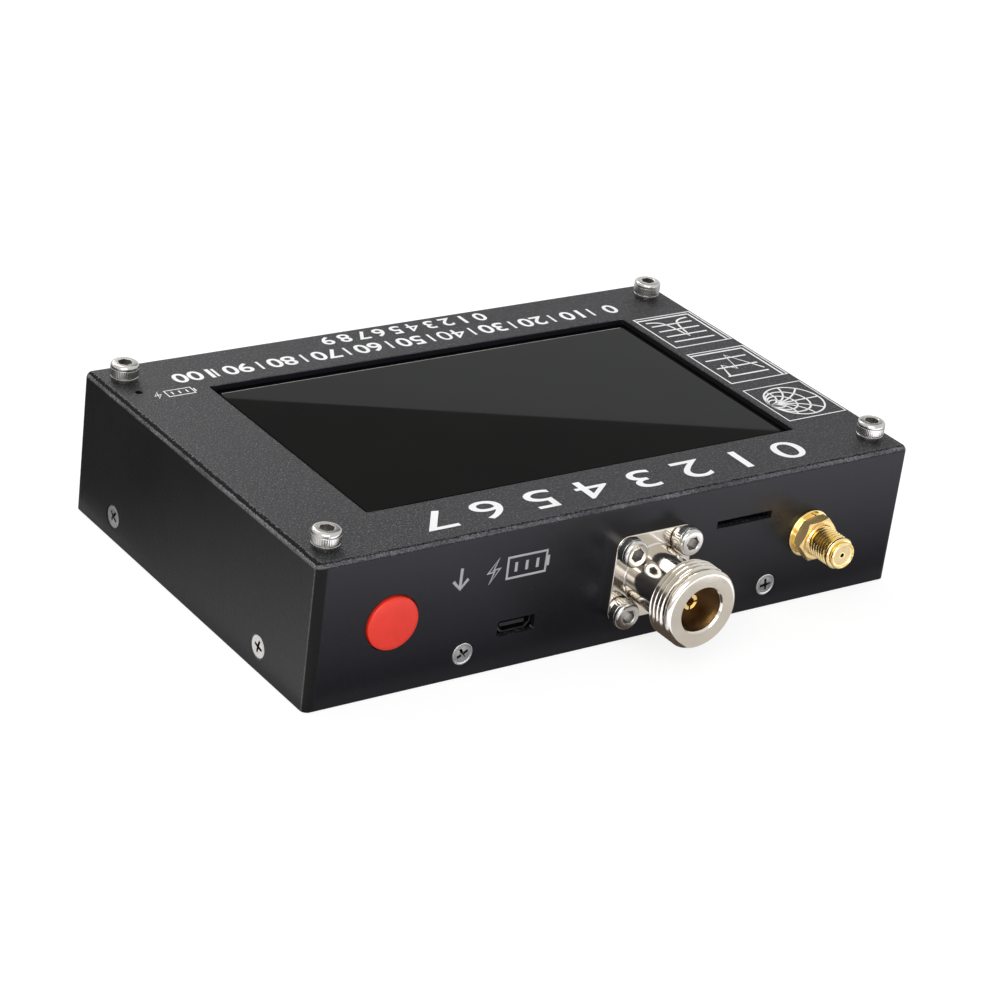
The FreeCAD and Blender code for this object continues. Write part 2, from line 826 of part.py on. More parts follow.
def make_chips():
    keep(box("processor_chip", s.processor, s.processor, s.processor_height,
             s.processor_x, s.processor_y, display_board_bottom - s.processor_height), "processor_chip")
    keep(box("memory_chip", s.memory_length, s.memory_depth, s.memory_height,
             s.memory_x, s.memory_y, display_board_bottom - s.memory_height), "memory_chip")
    keep(box("charger_chip", s.charger_chip, s.charger_chip, s.charger_chip_height,
             usb_x, s.charger_chip_setback - board_edge, main_board_top), "charger_chip")
    chip = box("rf_chip", s.can_chip, s.can_chip, s.can_chip_height, 0, 0, 0)
    group("rf_chips", chip, [
        (s.can_x + side * s.can_chip_pitch / 2 - s.can_chip / 2, s.can_y - s.can_chip / 2, main_board_top, None)
        for side in (-1, 1)
    ])


def make_header():
    """The plug on the display board and the socket on the main board, which meet between the boards."""
    joint_level = display_board_bottom - s.header_pins_height
    keep(box("header_pins", s.header_length, s.header_depth, s.header_pins_height,
             0, s.header_y, joint_level), "board_header_pins")
    keep(box("header_socket", s.header_length, s.header_depth, s.standoff_length - s.header_pins_height,
             0, s.header_y, main_board_top), "board_header_socket")


def make_shield_can():
    body = new_body("shield_can")
    outline = new_sketch(body, "XY_Plane", s.can_x, s.can_y, main_board_top)
    rectangle(outline, s.can_length, s.can_depth)
    add(body, "Pad", outline, Length=s.can_height)
    dress(body, "Fillet", lambda e: straight(e, "z"), Radius=s.can_corner)
    hollow = new_sketch(body, "XY_Plane", s.can_x, s.can_y, main_board_top)
    rectangle(hollow, s.can_length - 2 * s.can_wall, s.can_depth - 2 * s.can_wall)
    add(body, "Pocket", hollow, Length=s.can_height - s.can_wall, Reversed=True)
    keep(body, "rf_shield_can")


def make_usb_socket():
    """Steel shell under the main board, with bevelled lower corners and a tongue inside."""
    shell_front = front_face - s.usb_recess
    half = s.usb_width / 2
    top = s.usb_height / 2
    body = new_body("usb_shell")
    outline = new_sketch(body, "XZ_Plane", usb_x, usb_level, shell_front)
    polygon(outline, [(-half, top), (-half, -top + s.usb_bevel), (-half + s.usb_bevel, -top),
                      (half - s.usb_bevel, -top), (half, -top + s.usb_bevel), (half, top)])
    add(body, "Pad", outline, Length=s.usb_depth, Reversed=True)
    mouth = new_sketch(body, "XZ_Plane", usb_x, usb_level, shell_front)
    inner = half - s.usb_shell
    inner_top = top - s.usb_shell
    polygon(mouth, [(-inner, inner_top), (-inner, -inner_top + s.usb_bevel), (-inner + s.usb_bevel, -inner_top),
                    (inner - s.usb_bevel, -inner_top), (inner, -inner_top + s.usb_bevel), (inner, inner_top)])
    add(body, "Pocket", mouth, Length=s.usb_depth - s.usb_shell)
    keep(body, "micro_usb_socket")
    length = s.usb_depth - s.usb_shell - s.usb_tongue_recess
    back = -shell_front + s.usb_depth - s.usb_shell
    keep(box("tongue", s.usb_tongue_width, length, s.usb_tongue_thickness,
             usb_x, back - length / 2, usb_level + inner_top - 2 * s.usb_tongue_thickness), "usb_tongue")


def make_card_socket():
    body = new_body("card_socket")
    mouth_face = inside_face - s.card_socket_setback
    outline = new_sketch(body, "XZ_Plane", card_x, card_level, mouth_face)
    rectangle(outline, s.card_socket_width, s.card_socket_height)
    add(body, "Pad", outline, Length=s.card_socket_depth, Reversed=True)
    mouth = new_sketch(body, "XZ_Plane", card_x, card_level, mouth_face)
    rectangle(mouth, s.card_mouth_width, s.card_socket_height - 2 * s.card_shell)
    add(body, "Pocket", mouth, Length=s.card_socket_depth - s.card_shell)
    keep(body, "card_socket")


# ----------------------------------------------------------------------------------------------------------------
# Display
# ----------------------------------------------------------------------------------------------------------------

display_x = s.window_middle_x
display_y = s.window_middle_y
tray_fit = s.frame_wall + s.frame_fit


def make_display():
    body = new_body("gasket")
    ring = new_sketch(body, "XY_Plane", display_x, display_y, touch_top)
    rectangle(ring, display_length, display_depth)
    rectangle(ring, display_length - 2 * s.gasket_width, display_depth - 2 * s.gasket_width)
    add(body, "Pad", ring, Length=s.gasket_thickness)
    keep(body, "display_gasket")
    keep(box("touch", display_length, display_depth, s.touch_thickness,
             display_x, display_y, touch_bottom), "touch_panel")
    cell_length = display_length - 2 * tray_fit
    cell_depth = display_depth - 2 * tray_fit
    keep(box("cell", cell_length, cell_depth, s.cell_thickness, display_x, display_y, cell_bottom), "lcd_cell")
    panel_bottom = display_board_top + s.frame_wall
    keep(box("panel", cell_length, cell_depth, cell_bottom - panel_bottom,
             display_x, display_y, panel_bottom), "backlight_panel")
    frame = new_body("display_frame")
    outline = new_sketch(frame, "XY_Plane", display_x, display_y, display_board_top)
    rectangle(outline, display_length, display_depth)
    add(frame, "Pad", outline, Length=touch_bottom - display_board_top)
    hollow = new_sketch(frame, "XY_Plane", display_x, display_y, touch_bottom)
    rectangle(hollow, display_length - 2 * s.frame_wall, display_depth - 2 * s.frame_wall)
    add(frame, "Pocket", hollow, Length=touch_bottom - panel_bottom)
    keep(frame, "display_frame")


def make_ribbon():
    """Flat cable from the display's back edge, round the board's notched edge, to a socket below the board."""
    fold_y = board_edge - s.ribbon_notch_depth + s.ribbon_gap
    socket_back = fold_y - s.ribbon_socket_setback
    upper = display_board_top + s.ribbon_gap
    lower = display_board_bottom - s.ribbon_gap
    middle = (upper + lower) / 2
    inner = (upper - lower) / 2
    outer = inner + s.ribbon_thickness
    start = display_y + display_depth / 2
    body = new_body("ribbon")
    sketch = new_sketch(body, "YZ_Plane", fold_y, middle, s.window_middle_x - s.ribbon_width / 2)
    runs = [((start - fold_y, outer), (0, outer)), ((0, -outer), (socket_back - fold_y, -outer)),
            ((socket_back - fold_y, -outer), (socket_back - fold_y, -inner)),
            ((socket_back - fold_y, -inner), (0, -inner)), ((0, inner), (start - fold_y, inner)),
            ((start - fold_y, inner), (start - fold_y, outer))]
    for a, b in runs:
        ends = [Vector(number_of(x), number_of(y), 0) for x, y in (a, b)]
        index = sketch.addGeometry(Part.LineSegment(*ends))
        fix_point(sketch, index, 1, *a)
        fix_point(sketch, index, 2, *b)
    for radius in (outer, inner):
        bend = Part.Circle(Vector(), Vector(0, 0, 1), radius.number)
        index = sketch.addGeometry(Part.ArcOfCircle(bend, -math.pi / 2, math.pi / 2))
        fix_point(sketch, index, 3, 0, 0)
        constrain(sketch, radius, "Radius", index)
        for end in (1, 2):
            sketch.addConstraint(Sketcher.Constraint("PointOnObject", index, end, -2))
    add(body, "Pad", sketch, Length=s.ribbon_width)
    keep(body, "display_ribbon")
    keep(box("ribbon_socket", s.ribbon_socket_length, s.ribbon_socket_depth, s.ribbon_socket_height,
             s.window_middle_x, socket_back - s.ribbon_socket_depth / 2,
             display_board_bottom - s.ribbon_socket_height), "ribbon_socket")


def make_lamp():
    """A small domed lamp on the display board, below a hole in the top."""
    body = new_body("charge_lamp")
    profile = new_sketch(body, "XZ_Plane", lamp_x, display_board_top, -lamp_y)
    height = s.spacer_length - s.lamp_headroom
    polygon(profile, [
        (0, 0),
        (s.lamp_foot / 2, 0),
        (s.lamp_foot / 2, s.lamp_foot_height),
        (s.lamp_outer / 2, s.lamp_foot_height),
        (s.lamp_outer / 2, height),
        (0, height),
    ])
    turn(body, profile)
    dress(body, "Fillet", lambda e: all_at(e, "z", ceiling - s.lamp_headroom), Radius=s.lamp_outer / 2 - s.lamp_crest)
    keep(body, "charge_lamp")


# ----------------------------------------------------------------------------------------------------------------
# Power button
# ----------------------------------------------------------------------------------------------------------------

collar_front = -inside_face + s.button_play
collar_back = collar_front + s.button_collar_thickness
boss_back = collar_back + s.button_boss_length
switch_front = -inside_face + s.switch_setback


def make_button():
    body = new_body("button")
    profile = new_sketch(body, "XY_Plane", button_x, 0, s.button_level)
    nose = -front_face - s.button_proud
    shoulder = nose + s.button_crown
    radius = s.button_outer / 2
    sides = [((radius, shoulder), (radius, collar_front)),
             ((radius, collar_front), (s.button_collar / 2, collar_front)),
             ((s.button_collar / 2, collar_front), (s.button_collar / 2, collar_back)),
             ((s.button_collar / 2, collar_back), (s.button_boss / 2, collar_back)),
             ((s.button_boss / 2, collar_back), (s.button_boss / 2, boss_back)),
             ((s.button_boss / 2, boss_back), (0, boss_back)),
             ((0, boss_back), (0, nose))]
    for a, b in sides:
        ends = [Vector(number_of(x), number_of(y), 0) for x, y in (a, b)]
        index = profile.addGeometry(Part.LineSegment(*ends))
        fix_point(profile, index, 1, *a)
        fix_point(profile, index, 2, *b)
    swell = (radius.number**2 + s.button_crown.number**2) / (2 * s.button_crown.number)
    spread = math.asin(radius.number / swell)
    centre = Vector(0, nose.number + swell, 0)
    crown = Part.ArcOfCircle(Part.Circle(centre, Vector(0, 0, 1), swell), -math.pi / 2, -math.pi / 2 + spread)
    index = profile.addGeometry(crown)
    profile.addConstraint(Sketcher.Constraint("PointOnObject", index, 3, -2))
    fix_point(profile, index, 1, 0, nose)
    fix_point(profile, index, 2, radius, shoulder)
    turn(body, profile)
    dress(body, "Fillet", lambda e: all_at(e, "y", shoulder) and round_edge(e, s.button_outer),
          Radius=s.button_edge)
    keep(body, "button_cap")
    keep(rod("plunger", s.plunger_outer, switch_front + s.plunger_entry - boss_back,
             button_x, boss_back, s.button_level, along_back), "switch_plunger")
    shell = box("switch_shell", s.switch_width, s.switch_depth, s.switch_height,
                button_x, switch_front + s.switch_depth / 2, main_board_top)
    bore = rod("switch_bore", s.plunger_outer + 2 * s.plunger_play, s.switch_bore_depth + s.cut_margin,
               button_x, switch_front - s.cut_margin, s.button_level, along_back)
    keep(joined("Cut", "switch", shell, bore), "switch_housing")


# ----------------------------------------------------------------------------------------------------------------
# N socket: places along its axis are measured forward from the wall's outer face
# ----------------------------------------------------------------------------------------------------------------

n_boss_end = -(s.wall + s.coax_boss_proud)


def turned(body, x, points, kind="Revolution"):
    """Turn an outline of (diameter, distance in front of the wall) about a connector's axis."""
    profile = new_sketch(body, "XY_Plane", x, -front_face, s.connector_level)
    polygon(profile, [(diameter / 2 if number_of(diameter) else 0, -forward if number_of(forward) else 0)
                      for diameter, forward in points])
    return turn(body, profile, kind)


def make_n_socket():
    body = new_body("n_socket")
    barrel_back = s.coax_reach - s.coax_barrel_length
    turned(body, s.coax_x, [
        (0, s.coax_reach),
        (s.coax_rim, s.coax_reach),
        (s.coax_barrel, s.coax_reach - s.coax_rim_depth),
        (s.coax_barrel, barrel_back),
        (s.coax_neck, barrel_back),
        (s.coax_neck, 0),
        (s.coax_boss, 0),
        (s.coax_boss, n_boss_end),
        (0, n_boss_end),
    ])
    flange = new_sketch(body, "XZ_Plane", s.coax_x, s.connector_level, front_face)
    rectangle(flange, s.coax_flange, s.coax_flange)
    add(body, "Pad", flange, Length=s.coax_flange_thickness)
    dress(body, "Fillet", lambda e: straight(e, "y") and near(e.Length, s.coax_flange_thickness),
          Radius=s.coax_flange_corner)
    holes = new_sketch(body, "XZ_Plane", s.coax_x, s.connector_level, front_face)
    for x, z in n_corner_points:
        circle(holes, s.coax_hole, x, z)
    add(body, "Pocket", holes, Length=s.coax_flange_thickness, Reversed=True)
    turned(body, s.coax_x, [
        (0, s.coax_reach + s.cut_margin),
        (s.coax_bore, s.coax_reach + s.cut_margin),
        (s.coax_bore, s.coax_reach - s.coax_bore_depth),
        (s.coax_insulator, s.coax_reach - s.coax_bore_depth),
        (s.coax_insulator, n_boss_end - s.cut_margin),
        (0, n_boss_end - s.cut_margin),
    ], "Groove")
    keep(body, "n_connector_body")


def make_n_inside():
    """Insulator, contact, and the strip that joins the contact's pin to the main board."""
    insulator_front = s.coax_reach - s.coax_bore_depth
    insulator_back = n_boss_end - s.coax_insulator_proud
    step = insulator_front - s.coax_insulator_proud
    insulator = new_body("n_insulator")
    turned(insulator, s.coax_x, [
        (s.coax_contact, insulator_front),
        (s.coax_insulator, insulator_front),
        (s.coax_insulator, insulator_back),
        (s.coax_pin, insulator_back),
        (s.coax_pin, step),
        (s.coax_contact, step),
    ])
    keep(insulator, "n_insulator")
    contact_front = s.coax_reach - s.coax_contact_recess
    pin_end = insulator_back - s.coax_pin_length
    contact = new_body("n_contact")
    turned(contact, s.coax_x, [
        (0, contact_front),
        (s.coax_contact, contact_front),
        (s.coax_contact, step),
        (s.coax_pin, step),
        (s.coax_pin, pin_end),
        (0, pin_end),
    ])
    bore = new_sketch(contact, "XZ_Plane", s.coax_x, s.connector_level, front_face + contact_front)
    circle(bore, s.coax_contact_bore)
    add(contact, "Pocket", bore, Length=s.coax_contact_bore_depth)
    for length, width in ((s.coax_bore, s.coax_contact_slot), (s.coax_contact_slot, s.coax_bore)):
        slot = new_sketch(contact, "XZ_Plane", s.coax_x, s.connector_level, front_face + contact_front)
        rectangle(slot, length, width)
        add(contact, "Pocket", slot, Length=s.coax_contact_slot_depth)
    keep(contact, "n_center_contact")
    riser = -front_face - pin_end - s.coax_strip_inset
    strip = new_body("n_strip")
    profile = new_sketch(strip, "YZ_Plane", riser, main_board_top, s.coax_x - s.coax_strip_width / 2)
    thin = s.coax_strip_thickness
    crest = s.connector_level - main_board_top + s.coax_strip_rise
    polygon(profile, [(0, 0), (s.coax_strip_foot, 0), (s.coax_strip_foot, thin), (thin, thin), (thin, crest), (0, crest)])
    add(strip, "Pad", profile, Length=s.coax_strip_width)
    hole = new_sketch(strip, "XZ_Plane", s.coax_x, s.connector_level, -riser)
    circle(hole, s.coax_pin + 2 * s.fit_clearance)
    add(strip, "Pocket", hole, Length=thin)
    keep(strip, "n_link_strip")


def make_n_fixings():
    head_seat = -front_face - s.coax_flange_thickness
    places = [(s.coax_x + x, s.connector_level + z) for x, z in n_corner_points]
    screw = make_cap_screw("flange_screw", s.coax_screw_length, s.flange_screw_foot)
    group("n_flange_screws", screw, [(x, head_seat, z, along_front) for x, z in places])
    nut = make_tube("flange_nut", hexagon, s.coax_nut_flats, s.cap_screw_shank + 2 * s.thread_play, s.coax_nut_height)
    group("n_flange_nuts", nut, [(x, -inside_face, z, along_back) for x, z in places])


# ----------------------------------------------------------------------------------------------------------------
# SMA socket: a block on the main board with a threaded barrel through the wall
# ----------------------------------------------------------------------------------------------------------------


def make_sma_socket():
    body = new_body("sma_socket")
    block_top = 2 * s.connector_level - main_board_top
    block = new_sketch(body, "XZ_Plane", sma_x, s.connector_level, inside_face)
    rectangle(block, s.sma_block, block_top - main_board_top)
    add(body, "Pad", block, Length=s.sma_block_depth, Reversed=True)
    turned(body, sma_x, [
        (0, s.sma_reach),
        (s.sma_tip, s.sma_reach),
        (s.sma_thread, s.sma_reach - s.sma_tip_depth),
        (s.sma_thread, s.sma_thread_start),
        (s.sma_shank, s.sma_thread_start),
        (s.sma_shank, -s.wall),
        (0, -s.wall),
    ])
    elbow_back = s.sma_elbow + s.wall + s.sma_bore / 2
    turned(body, sma_x, [
        (0, s.sma_reach + s.cut_margin),
        (s.sma_mouth, s.sma_reach + s.cut_margin),
        (s.sma_mouth, s.sma_reach - s.sma_mouth_depth),
        (s.sma_bore, s.sma_reach - s.sma_mouth_depth),
        (s.sma_bore, -elbow_back),
        (0, -elbow_back),
    ], "Groove")
    drop = new_sketch(body, "XY_Plane", sma_x, leg_y, main_board_top)
    circle(drop, s.sma_drop)
    add(body, "Pocket", drop, Length=s.connector_level - main_board_top, Reversed=True)
    legs = new_sketch(body, "XY_Plane", sma_x, leg_y, main_board_bottom - s.leg_tail)
    for sx, sy in corner_signs:
        circle(legs, s.sma_leg, sx * s.sma_leg_pitch / 2, sy * s.sma_leg_pitch / 2)
    add(body, "Pad", legs, Length=s.board_thickness + s.leg_tail)
    keep(body, "sma_body")
    front = -front_face - s.sma_reach + s.sma_mouth_depth
    run = leg_y + s.sma_leg / 2 - front
    drop_low = main_board_bottom - s.leg_tail
    stem = rod("contact_stem", s.sma_contact, run, sma_x, front, s.connector_level, along_back)
    leg = rod("contact_leg", s.sma_leg, s.connector_level - drop_low, sma_x, leg_y, drop_low)
    whole = joined("Fuse", "contact_whole", stem, leg)
    contact_bore = rod("contact_bore", s.sma_contact_bore, s.sma_contact_bore_depth + s.cut_margin,
                       sma_x, front - s.cut_margin, s.connector_level, along_back)
    contact = joined("Cut", "contact", whole, contact_bore)
    sleeve = rod("sleeve", s.sma_bore, leg_y + s.sma_bore / 2 - front, sma_x, front, s.connector_level, along_back)
    plug = rod("sleeve_drop", s.sma_drop, s.connector_level - main_board_top, sma_x, leg_y, main_board_top)
    sleeves = joined("Fuse", "sleeves", sleeve, plug)
    stem_room = rod("stem_room", s.sma_contact, run + s.cut_margin,
                    sma_x, front - s.cut_margin, s.connector_level, along_back)
    leg_room = rod("leg_room", s.sma_leg, s.connector_level - drop_low, sma_x, leg_y, drop_low)
    room = joined("Fuse", "contact_room", stem_room, leg_room)
    keep(contact, "sma_center_contact")
    keep(joined("Cut", "sma_insulator", sleeves, room), "sma_insulator")


def make_sma_fixings():
    slipped = s.sma_thread + 2 * s.thread_play
    tapped = s.sma_shank + 2 * s.thread_play
    front = -front_face
    stack = [("sma_washer", circle, s.sma_washer, slipped, s.sma_washer_thickness),
             ("sma_lock_washer", circle, s.sma_lock_washer, slipped, s.sma_lock_washer_thickness),
             ("sma_hex_nut", hexagon, s.sma_nut_flats, tapped, s.sma_nut_height)]
    for label, outline, outer, hole, thickness in stack:
        body = new_body(label)
        sketch = new_sketch(body, "XZ_Plane", sma_x, s.connector_level, -front)
        outline(sketch, outer)
        circle(sketch, hole)
        add(body, "Pad", sketch, Length=thickness)
        front = front - thickness
        if outline is hexagon:
            face = front.number
            dress(body, "Chamfer", lambda e: all_at(e, "y", face) and not round_edge(e, hole),
                  Size=s.sma_nut_bevel)
        keep(body, label)


# ----------------------------------------------------------------------------------------------------------------
# Battery
# ----------------------------------------------------------------------------------------------------------------


def make_battery():
    tape_top = s.wall + s.battery_tape_thickness
    keep(box("tape", battery_length - 2 * s.battery_tape_margin, battery_depth - 2 * s.battery_tape_margin,
             s.battery_tape_thickness, battery_x, battery_y, s.wall), "battery_tape")
    cell = new_body("battery")
    outline = new_sketch(cell, "XY_Plane", battery_x, battery_y, tape_top)
    rectangle(outline, battery_length, battery_depth)
    add(cell, "Pad", outline, Length=s.battery_height)
    dress(cell, "Fillet", lambda e: straight(e, "z"), Radius=s.battery_edge)
    keep(cell, "battery_cell")
    socket_right = battery_socket_x + s.battery_socket_depth
    socket_low = main_board_bottom - s.battery_socket_height
    outer = box("socket_block", s.battery_socket_depth, s.battery_socket_width, s.battery_socket_height,
                battery_socket_x + s.battery_socket_depth / 2, battery_y, socket_low)
    plug_low = main_board_bottom - s.lead_level_drop - s.plug_height / 2
    mouth = box("socket_mouth", s.plug_depth, s.plug_width, s.plug_height,
                socket_right, battery_y, plug_low)
    keep(joined("Cut", "battery_socket", outer, mouth), "battery_socket")
    keep(box("plug", s.plug_depth, s.plug_width, s.plug_height, socket_right, battery_y, plug_low), "battery_plug")
    make_leads(socket_right + s.plug_depth / 2, main_board_bottom - s.lead_level_drop,
               battery_x - battery_length / 2, tape_top + s.battery_height / 2)


def make_leads(plug_x, plug_level, cell_x, cell_level):
    """Two round leads that leave the plug level, bend down twice and meet the battery's end level."""
    middle_x = (plug_x + cell_x) / 2
    middle_z = (plug_level + cell_level) / 2
    begin = plug_x + s.lead_straight
    end = cell_x - s.lead_straight
    leads = []
    for side in (-1, 1):
        y = battery_y + side * s.lead_pitch / 2
        body = new_body("lead")
        path = new_sketch(body, "XZ_Plane", 0, 0, -y)
        fall = [((plug_x, plug_level), (begin, plug_level)), ((begin, plug_level), (end, cell_level)),
                ((end, cell_level), (cell_x, cell_level))]
        for a, b in fall:
            ends = [Vector(number_of(x), number_of(z), 0) for x, z in (a, b)]
            index = path.addGeometry(Part.LineSegment(*ends))
            fix_point(path, index, 1, *a)
            fix_point(path, index, 2, *b)
        section = new_sketch(body, "YZ_Plane", y, plug_level, plug_x)
        circle(section, s.lead_outer)
        doc.recompute()
        pipe = body.newObject("PartDesign::AdditivePipe", "lead_pipe")
        pipe.Profile = section
        pipe.Spine = (path, ["Edge1", "Edge2", "Edge3"])
        pipe.Transition = "Round corner"
        doc.recompute()
        leads.append(body)
    compound = doc.addObject("Part::Compound", "leads_group")
    compound.Links = leads
    keep(compound, "battery_leads")


make_top_cover()
make_bottom_tray()
make_side_screws()
make_columns()
make_board_screws()
make_boards()
make_chips()
make_header()
make_shield_can()
make_usb_socket()
make_card_socket()
make_display()
make_ribbon()
make_lamp()
make_button()
make_n_socket()
make_n_inside()
make_n_fixings()
make_sma_socket()
make_sma_fixings()
make_battery()
doc.recompute()

for thing in doc.Objects:
    if "Invalid" in thing.State or "Error" in thing.State:
        raise RuntimeError(f"{thing.Name} did not build: {thing.State}")

os.makedirs("parts", exist_ok=True)
for part in parts:
    shape = part.Shape
    if shape.isNull() or not shape.isValid() or not shape.Solids:
        raise RuntimeError(f"{part.Label} has no valid solid")
    shape.exportStep(f"parts/{part.Label}.step")
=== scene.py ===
import json
import math

import bmesh
import bpy
from mathutils import Matrix, Quaternion, Vector

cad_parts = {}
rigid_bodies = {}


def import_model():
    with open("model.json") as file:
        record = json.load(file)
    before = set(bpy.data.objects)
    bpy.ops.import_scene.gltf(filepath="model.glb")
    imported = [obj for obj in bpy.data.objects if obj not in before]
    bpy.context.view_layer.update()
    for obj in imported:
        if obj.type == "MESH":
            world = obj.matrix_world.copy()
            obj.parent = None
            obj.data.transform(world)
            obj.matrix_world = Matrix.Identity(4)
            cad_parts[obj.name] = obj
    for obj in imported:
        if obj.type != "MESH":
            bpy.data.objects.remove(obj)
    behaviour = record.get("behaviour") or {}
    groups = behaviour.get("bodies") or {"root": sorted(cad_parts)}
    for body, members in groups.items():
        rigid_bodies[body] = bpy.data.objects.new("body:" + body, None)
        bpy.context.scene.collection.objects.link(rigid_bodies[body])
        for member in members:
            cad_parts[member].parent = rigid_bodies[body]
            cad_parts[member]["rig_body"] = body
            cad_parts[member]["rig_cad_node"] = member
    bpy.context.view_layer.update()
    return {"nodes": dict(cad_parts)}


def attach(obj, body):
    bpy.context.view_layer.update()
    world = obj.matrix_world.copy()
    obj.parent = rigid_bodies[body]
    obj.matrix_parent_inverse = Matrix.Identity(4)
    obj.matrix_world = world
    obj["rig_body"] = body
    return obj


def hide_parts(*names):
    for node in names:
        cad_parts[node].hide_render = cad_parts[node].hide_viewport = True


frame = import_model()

NODES = frame["nodes"]
MM = 0.001
QUARTER = math.pi / 2
UPRIGHT = (0, 0, 0)
OUT_OF_FRONT = (QUARTER, 0, 0)
OUT_OF_BACK = (-QUARTER, 0, 0)
OUT_OF_LEFT = (0, -QUARTER, 0)
OUT_OF_RIGHT = (0, QUARTER, 0)

# --- Places in mm, as the CAD has them ---
COVER_TOP = 29.0
HALF_WIDTH, HALF_DEPTH = 67.0, 42.5
FRONT_WALL = -HALF_DEPTH
N_AXIS = (4.9, 14.5)
N_PLACE = (N_AXIS[0], FRONT_WALL, N_AXIS[1])
SMA_PLACE = (44.3, FRONT_WALL, 14.5)
BUTTON_PLACE = (-50.4, FRONT_WALL, 14.6)
CORNER_X, CORNER_Y = 61.9, 36.3
FLANGE_THICK = 2.2
FLANGE_SCREW_REACH = 6.35
WALL_SCREW_LEVEL = 4.7
# A rectangle round the rim of the window
RIM_LOW, RIM_HIGH = (-49.0, -29.0), (50.2, 28.4)
# Screw threads as crest radius, root radius and pitch
N_THREAD = (7.9, 7.27, 1.058)
SMA_THREAD = (3.15, 2.66, 0.7056)
# Distances for merging and cutting, in metres
WELD, CAD_WELD, ON_CUT = 1e-7, 1e-6, 1e-8


# --- Hand tools ---
def clear():
    """Goes to object mode, with nothing selected."""
    if bpy.context.mode != "OBJECT":
        bpy.ops.object.mode_set(mode="OBJECT")
    bpy.ops.object.select_all(action="DESELECT")


def hold(piece):
    """Makes this piece the active one and the only one selected."""
    clear()
    piece.select_set(True)
    bpy.context.view_layer.objects.active = piece


def open_up(piece):
    """Goes to edit mode with one piece, and selects all of it."""
    hold(piece)
    bpy.ops.object.mode_set(mode="EDIT")
    bpy.ops.mesh.select_all(action="SELECT")


def pick(piece, kind, test):
    """In edit mode, selects the vertices, edges or faces that test chooses."""
    bpy.ops.mesh.select_mode(type=kind)
    bpy.ops.mesh.select_all(action="DESELECT")
    form = bmesh.from_edit_mesh(piece.data)
    parts = {"VERT": form.verts, "EDGE": form.edges, "FACE": form.faces}[kind]
    for part in parts:
        if test(part):
            part.select_set(True)
    form.select_flush_mode()
    bmesh.update_edit_mesh(piece.data)


def apply_all(piece):
    """Applies a piece's location, rotation and scale to its mesh."""
    hold(piece)
    bpy.ops.object.transform_apply(location=True, rotation=True, scale=True)
    return piece


def settle(piece, place=(0, 0, 0), turn=UPRIGHT):
    """Turns a piece about the origin, moves it to its place in mm, and applies both."""
    piece.rotation_euler = turn
    piece.location = Vector(place) * MM
    return apply_all(piece)


def renormal(piece):
    """Merges doubled vertices and turns the normals outward."""
    open_up(piece)
    bpy.ops.mesh.remove_doubles(threshold=WELD)
    bpy.ops.mesh.normals_make_consistent(inside=False)
    clear()
    return piece


def smooth(piece, angle):
    """Shades smooth, but for edges sharper than an angle in degrees."""
    hold(piece)
    bpy.ops.object.shade_smooth_by_angle(angle=math.radians(angle))
    weights = piece.modifiers.new("weights", "WEIGHTED_NORMAL")
    weights.keep_sharp = True
    bpy.ops.object.modifier_apply(modifier=weights.name)
    return piece


def add_object(name, data):
    piece = bpy.data.objects.new(name, data)
    bpy.context.scene.collection.objects.link(piece)
    return piece


def twin(piece, name):
    """A copy of a finished piece, with its own mesh."""
    copy = piece.copy()
    copy.data = piece.data.copy()
    copy.name = name
    bpy.context.scene.collection.objects.link(copy)
    return copy


def cad_copy(node, name):
    """A copy of a CAD node's shape, free of the node and welded, open in edit mode."""
    piece = twin(NODES[node], name)
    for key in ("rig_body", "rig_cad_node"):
        if key in piece:
            del piece[key]
    piece.parent = None
    open_up(piece)
    bpy.ops.mesh.remove_doubles(threshold=CAD_WELD)
    return piece


def give_finishes(piece, *finishes):
    piece.data.materials.clear()
    for finish in finishes:
        piece.data.materials.append(MATERIALS[finish])


def two_finishes(piece, main, second, test):
    """The faces whose corners, in mm, pass the test get the second finish, and the rest the main one."""
    give_finishes(piece, main, second)
    for face in piece.data.polygons:
        face.material_index = int(test([piece.data.vertices[index].co / MM for index in face.vertices]))


def join(name, pieces):
    """Makes one piece of several, and names it."""
    hold(pieces[0])
    for piece in pieces:
        piece.select_set(True)
    if len(pieces) > 1:
        bpy.ops.object.join()
    pieces[0].name = name
    return pieces[0]


def set_copies(model, name, places, first_turn, next_turn):
    """Copies of a screw, one at each (place, turn) and each turned further about its own axis, as one piece. The
    model is used up."""
    copies = []
    for number, (place, turn) in enumerate(places):
        copy = settle(twin(model, f"{name}_{number}"), turn=(0, 0, first_turn + number * next_turn))
        copies.append(settle(copy, place, turn))
    bpy.data.objects.remove(model, do_unlink=True)
    return smooth(join(name, copies), 30)


def carve(piece, tool, how="DIFFERENCE"):
    """Cuts, joins or crosses a piece with a tool, which is used up."""
    hold(piece)
    step = piece.modifiers.new("carve", "BOOLEAN")
    step.operation = how
    step.solver = "EXACT"
    step.object = tool
    bpy.ops.object.modifier_apply(modifier=step.name)
    bpy.data.objects.remove(tool, do_unlink=True)


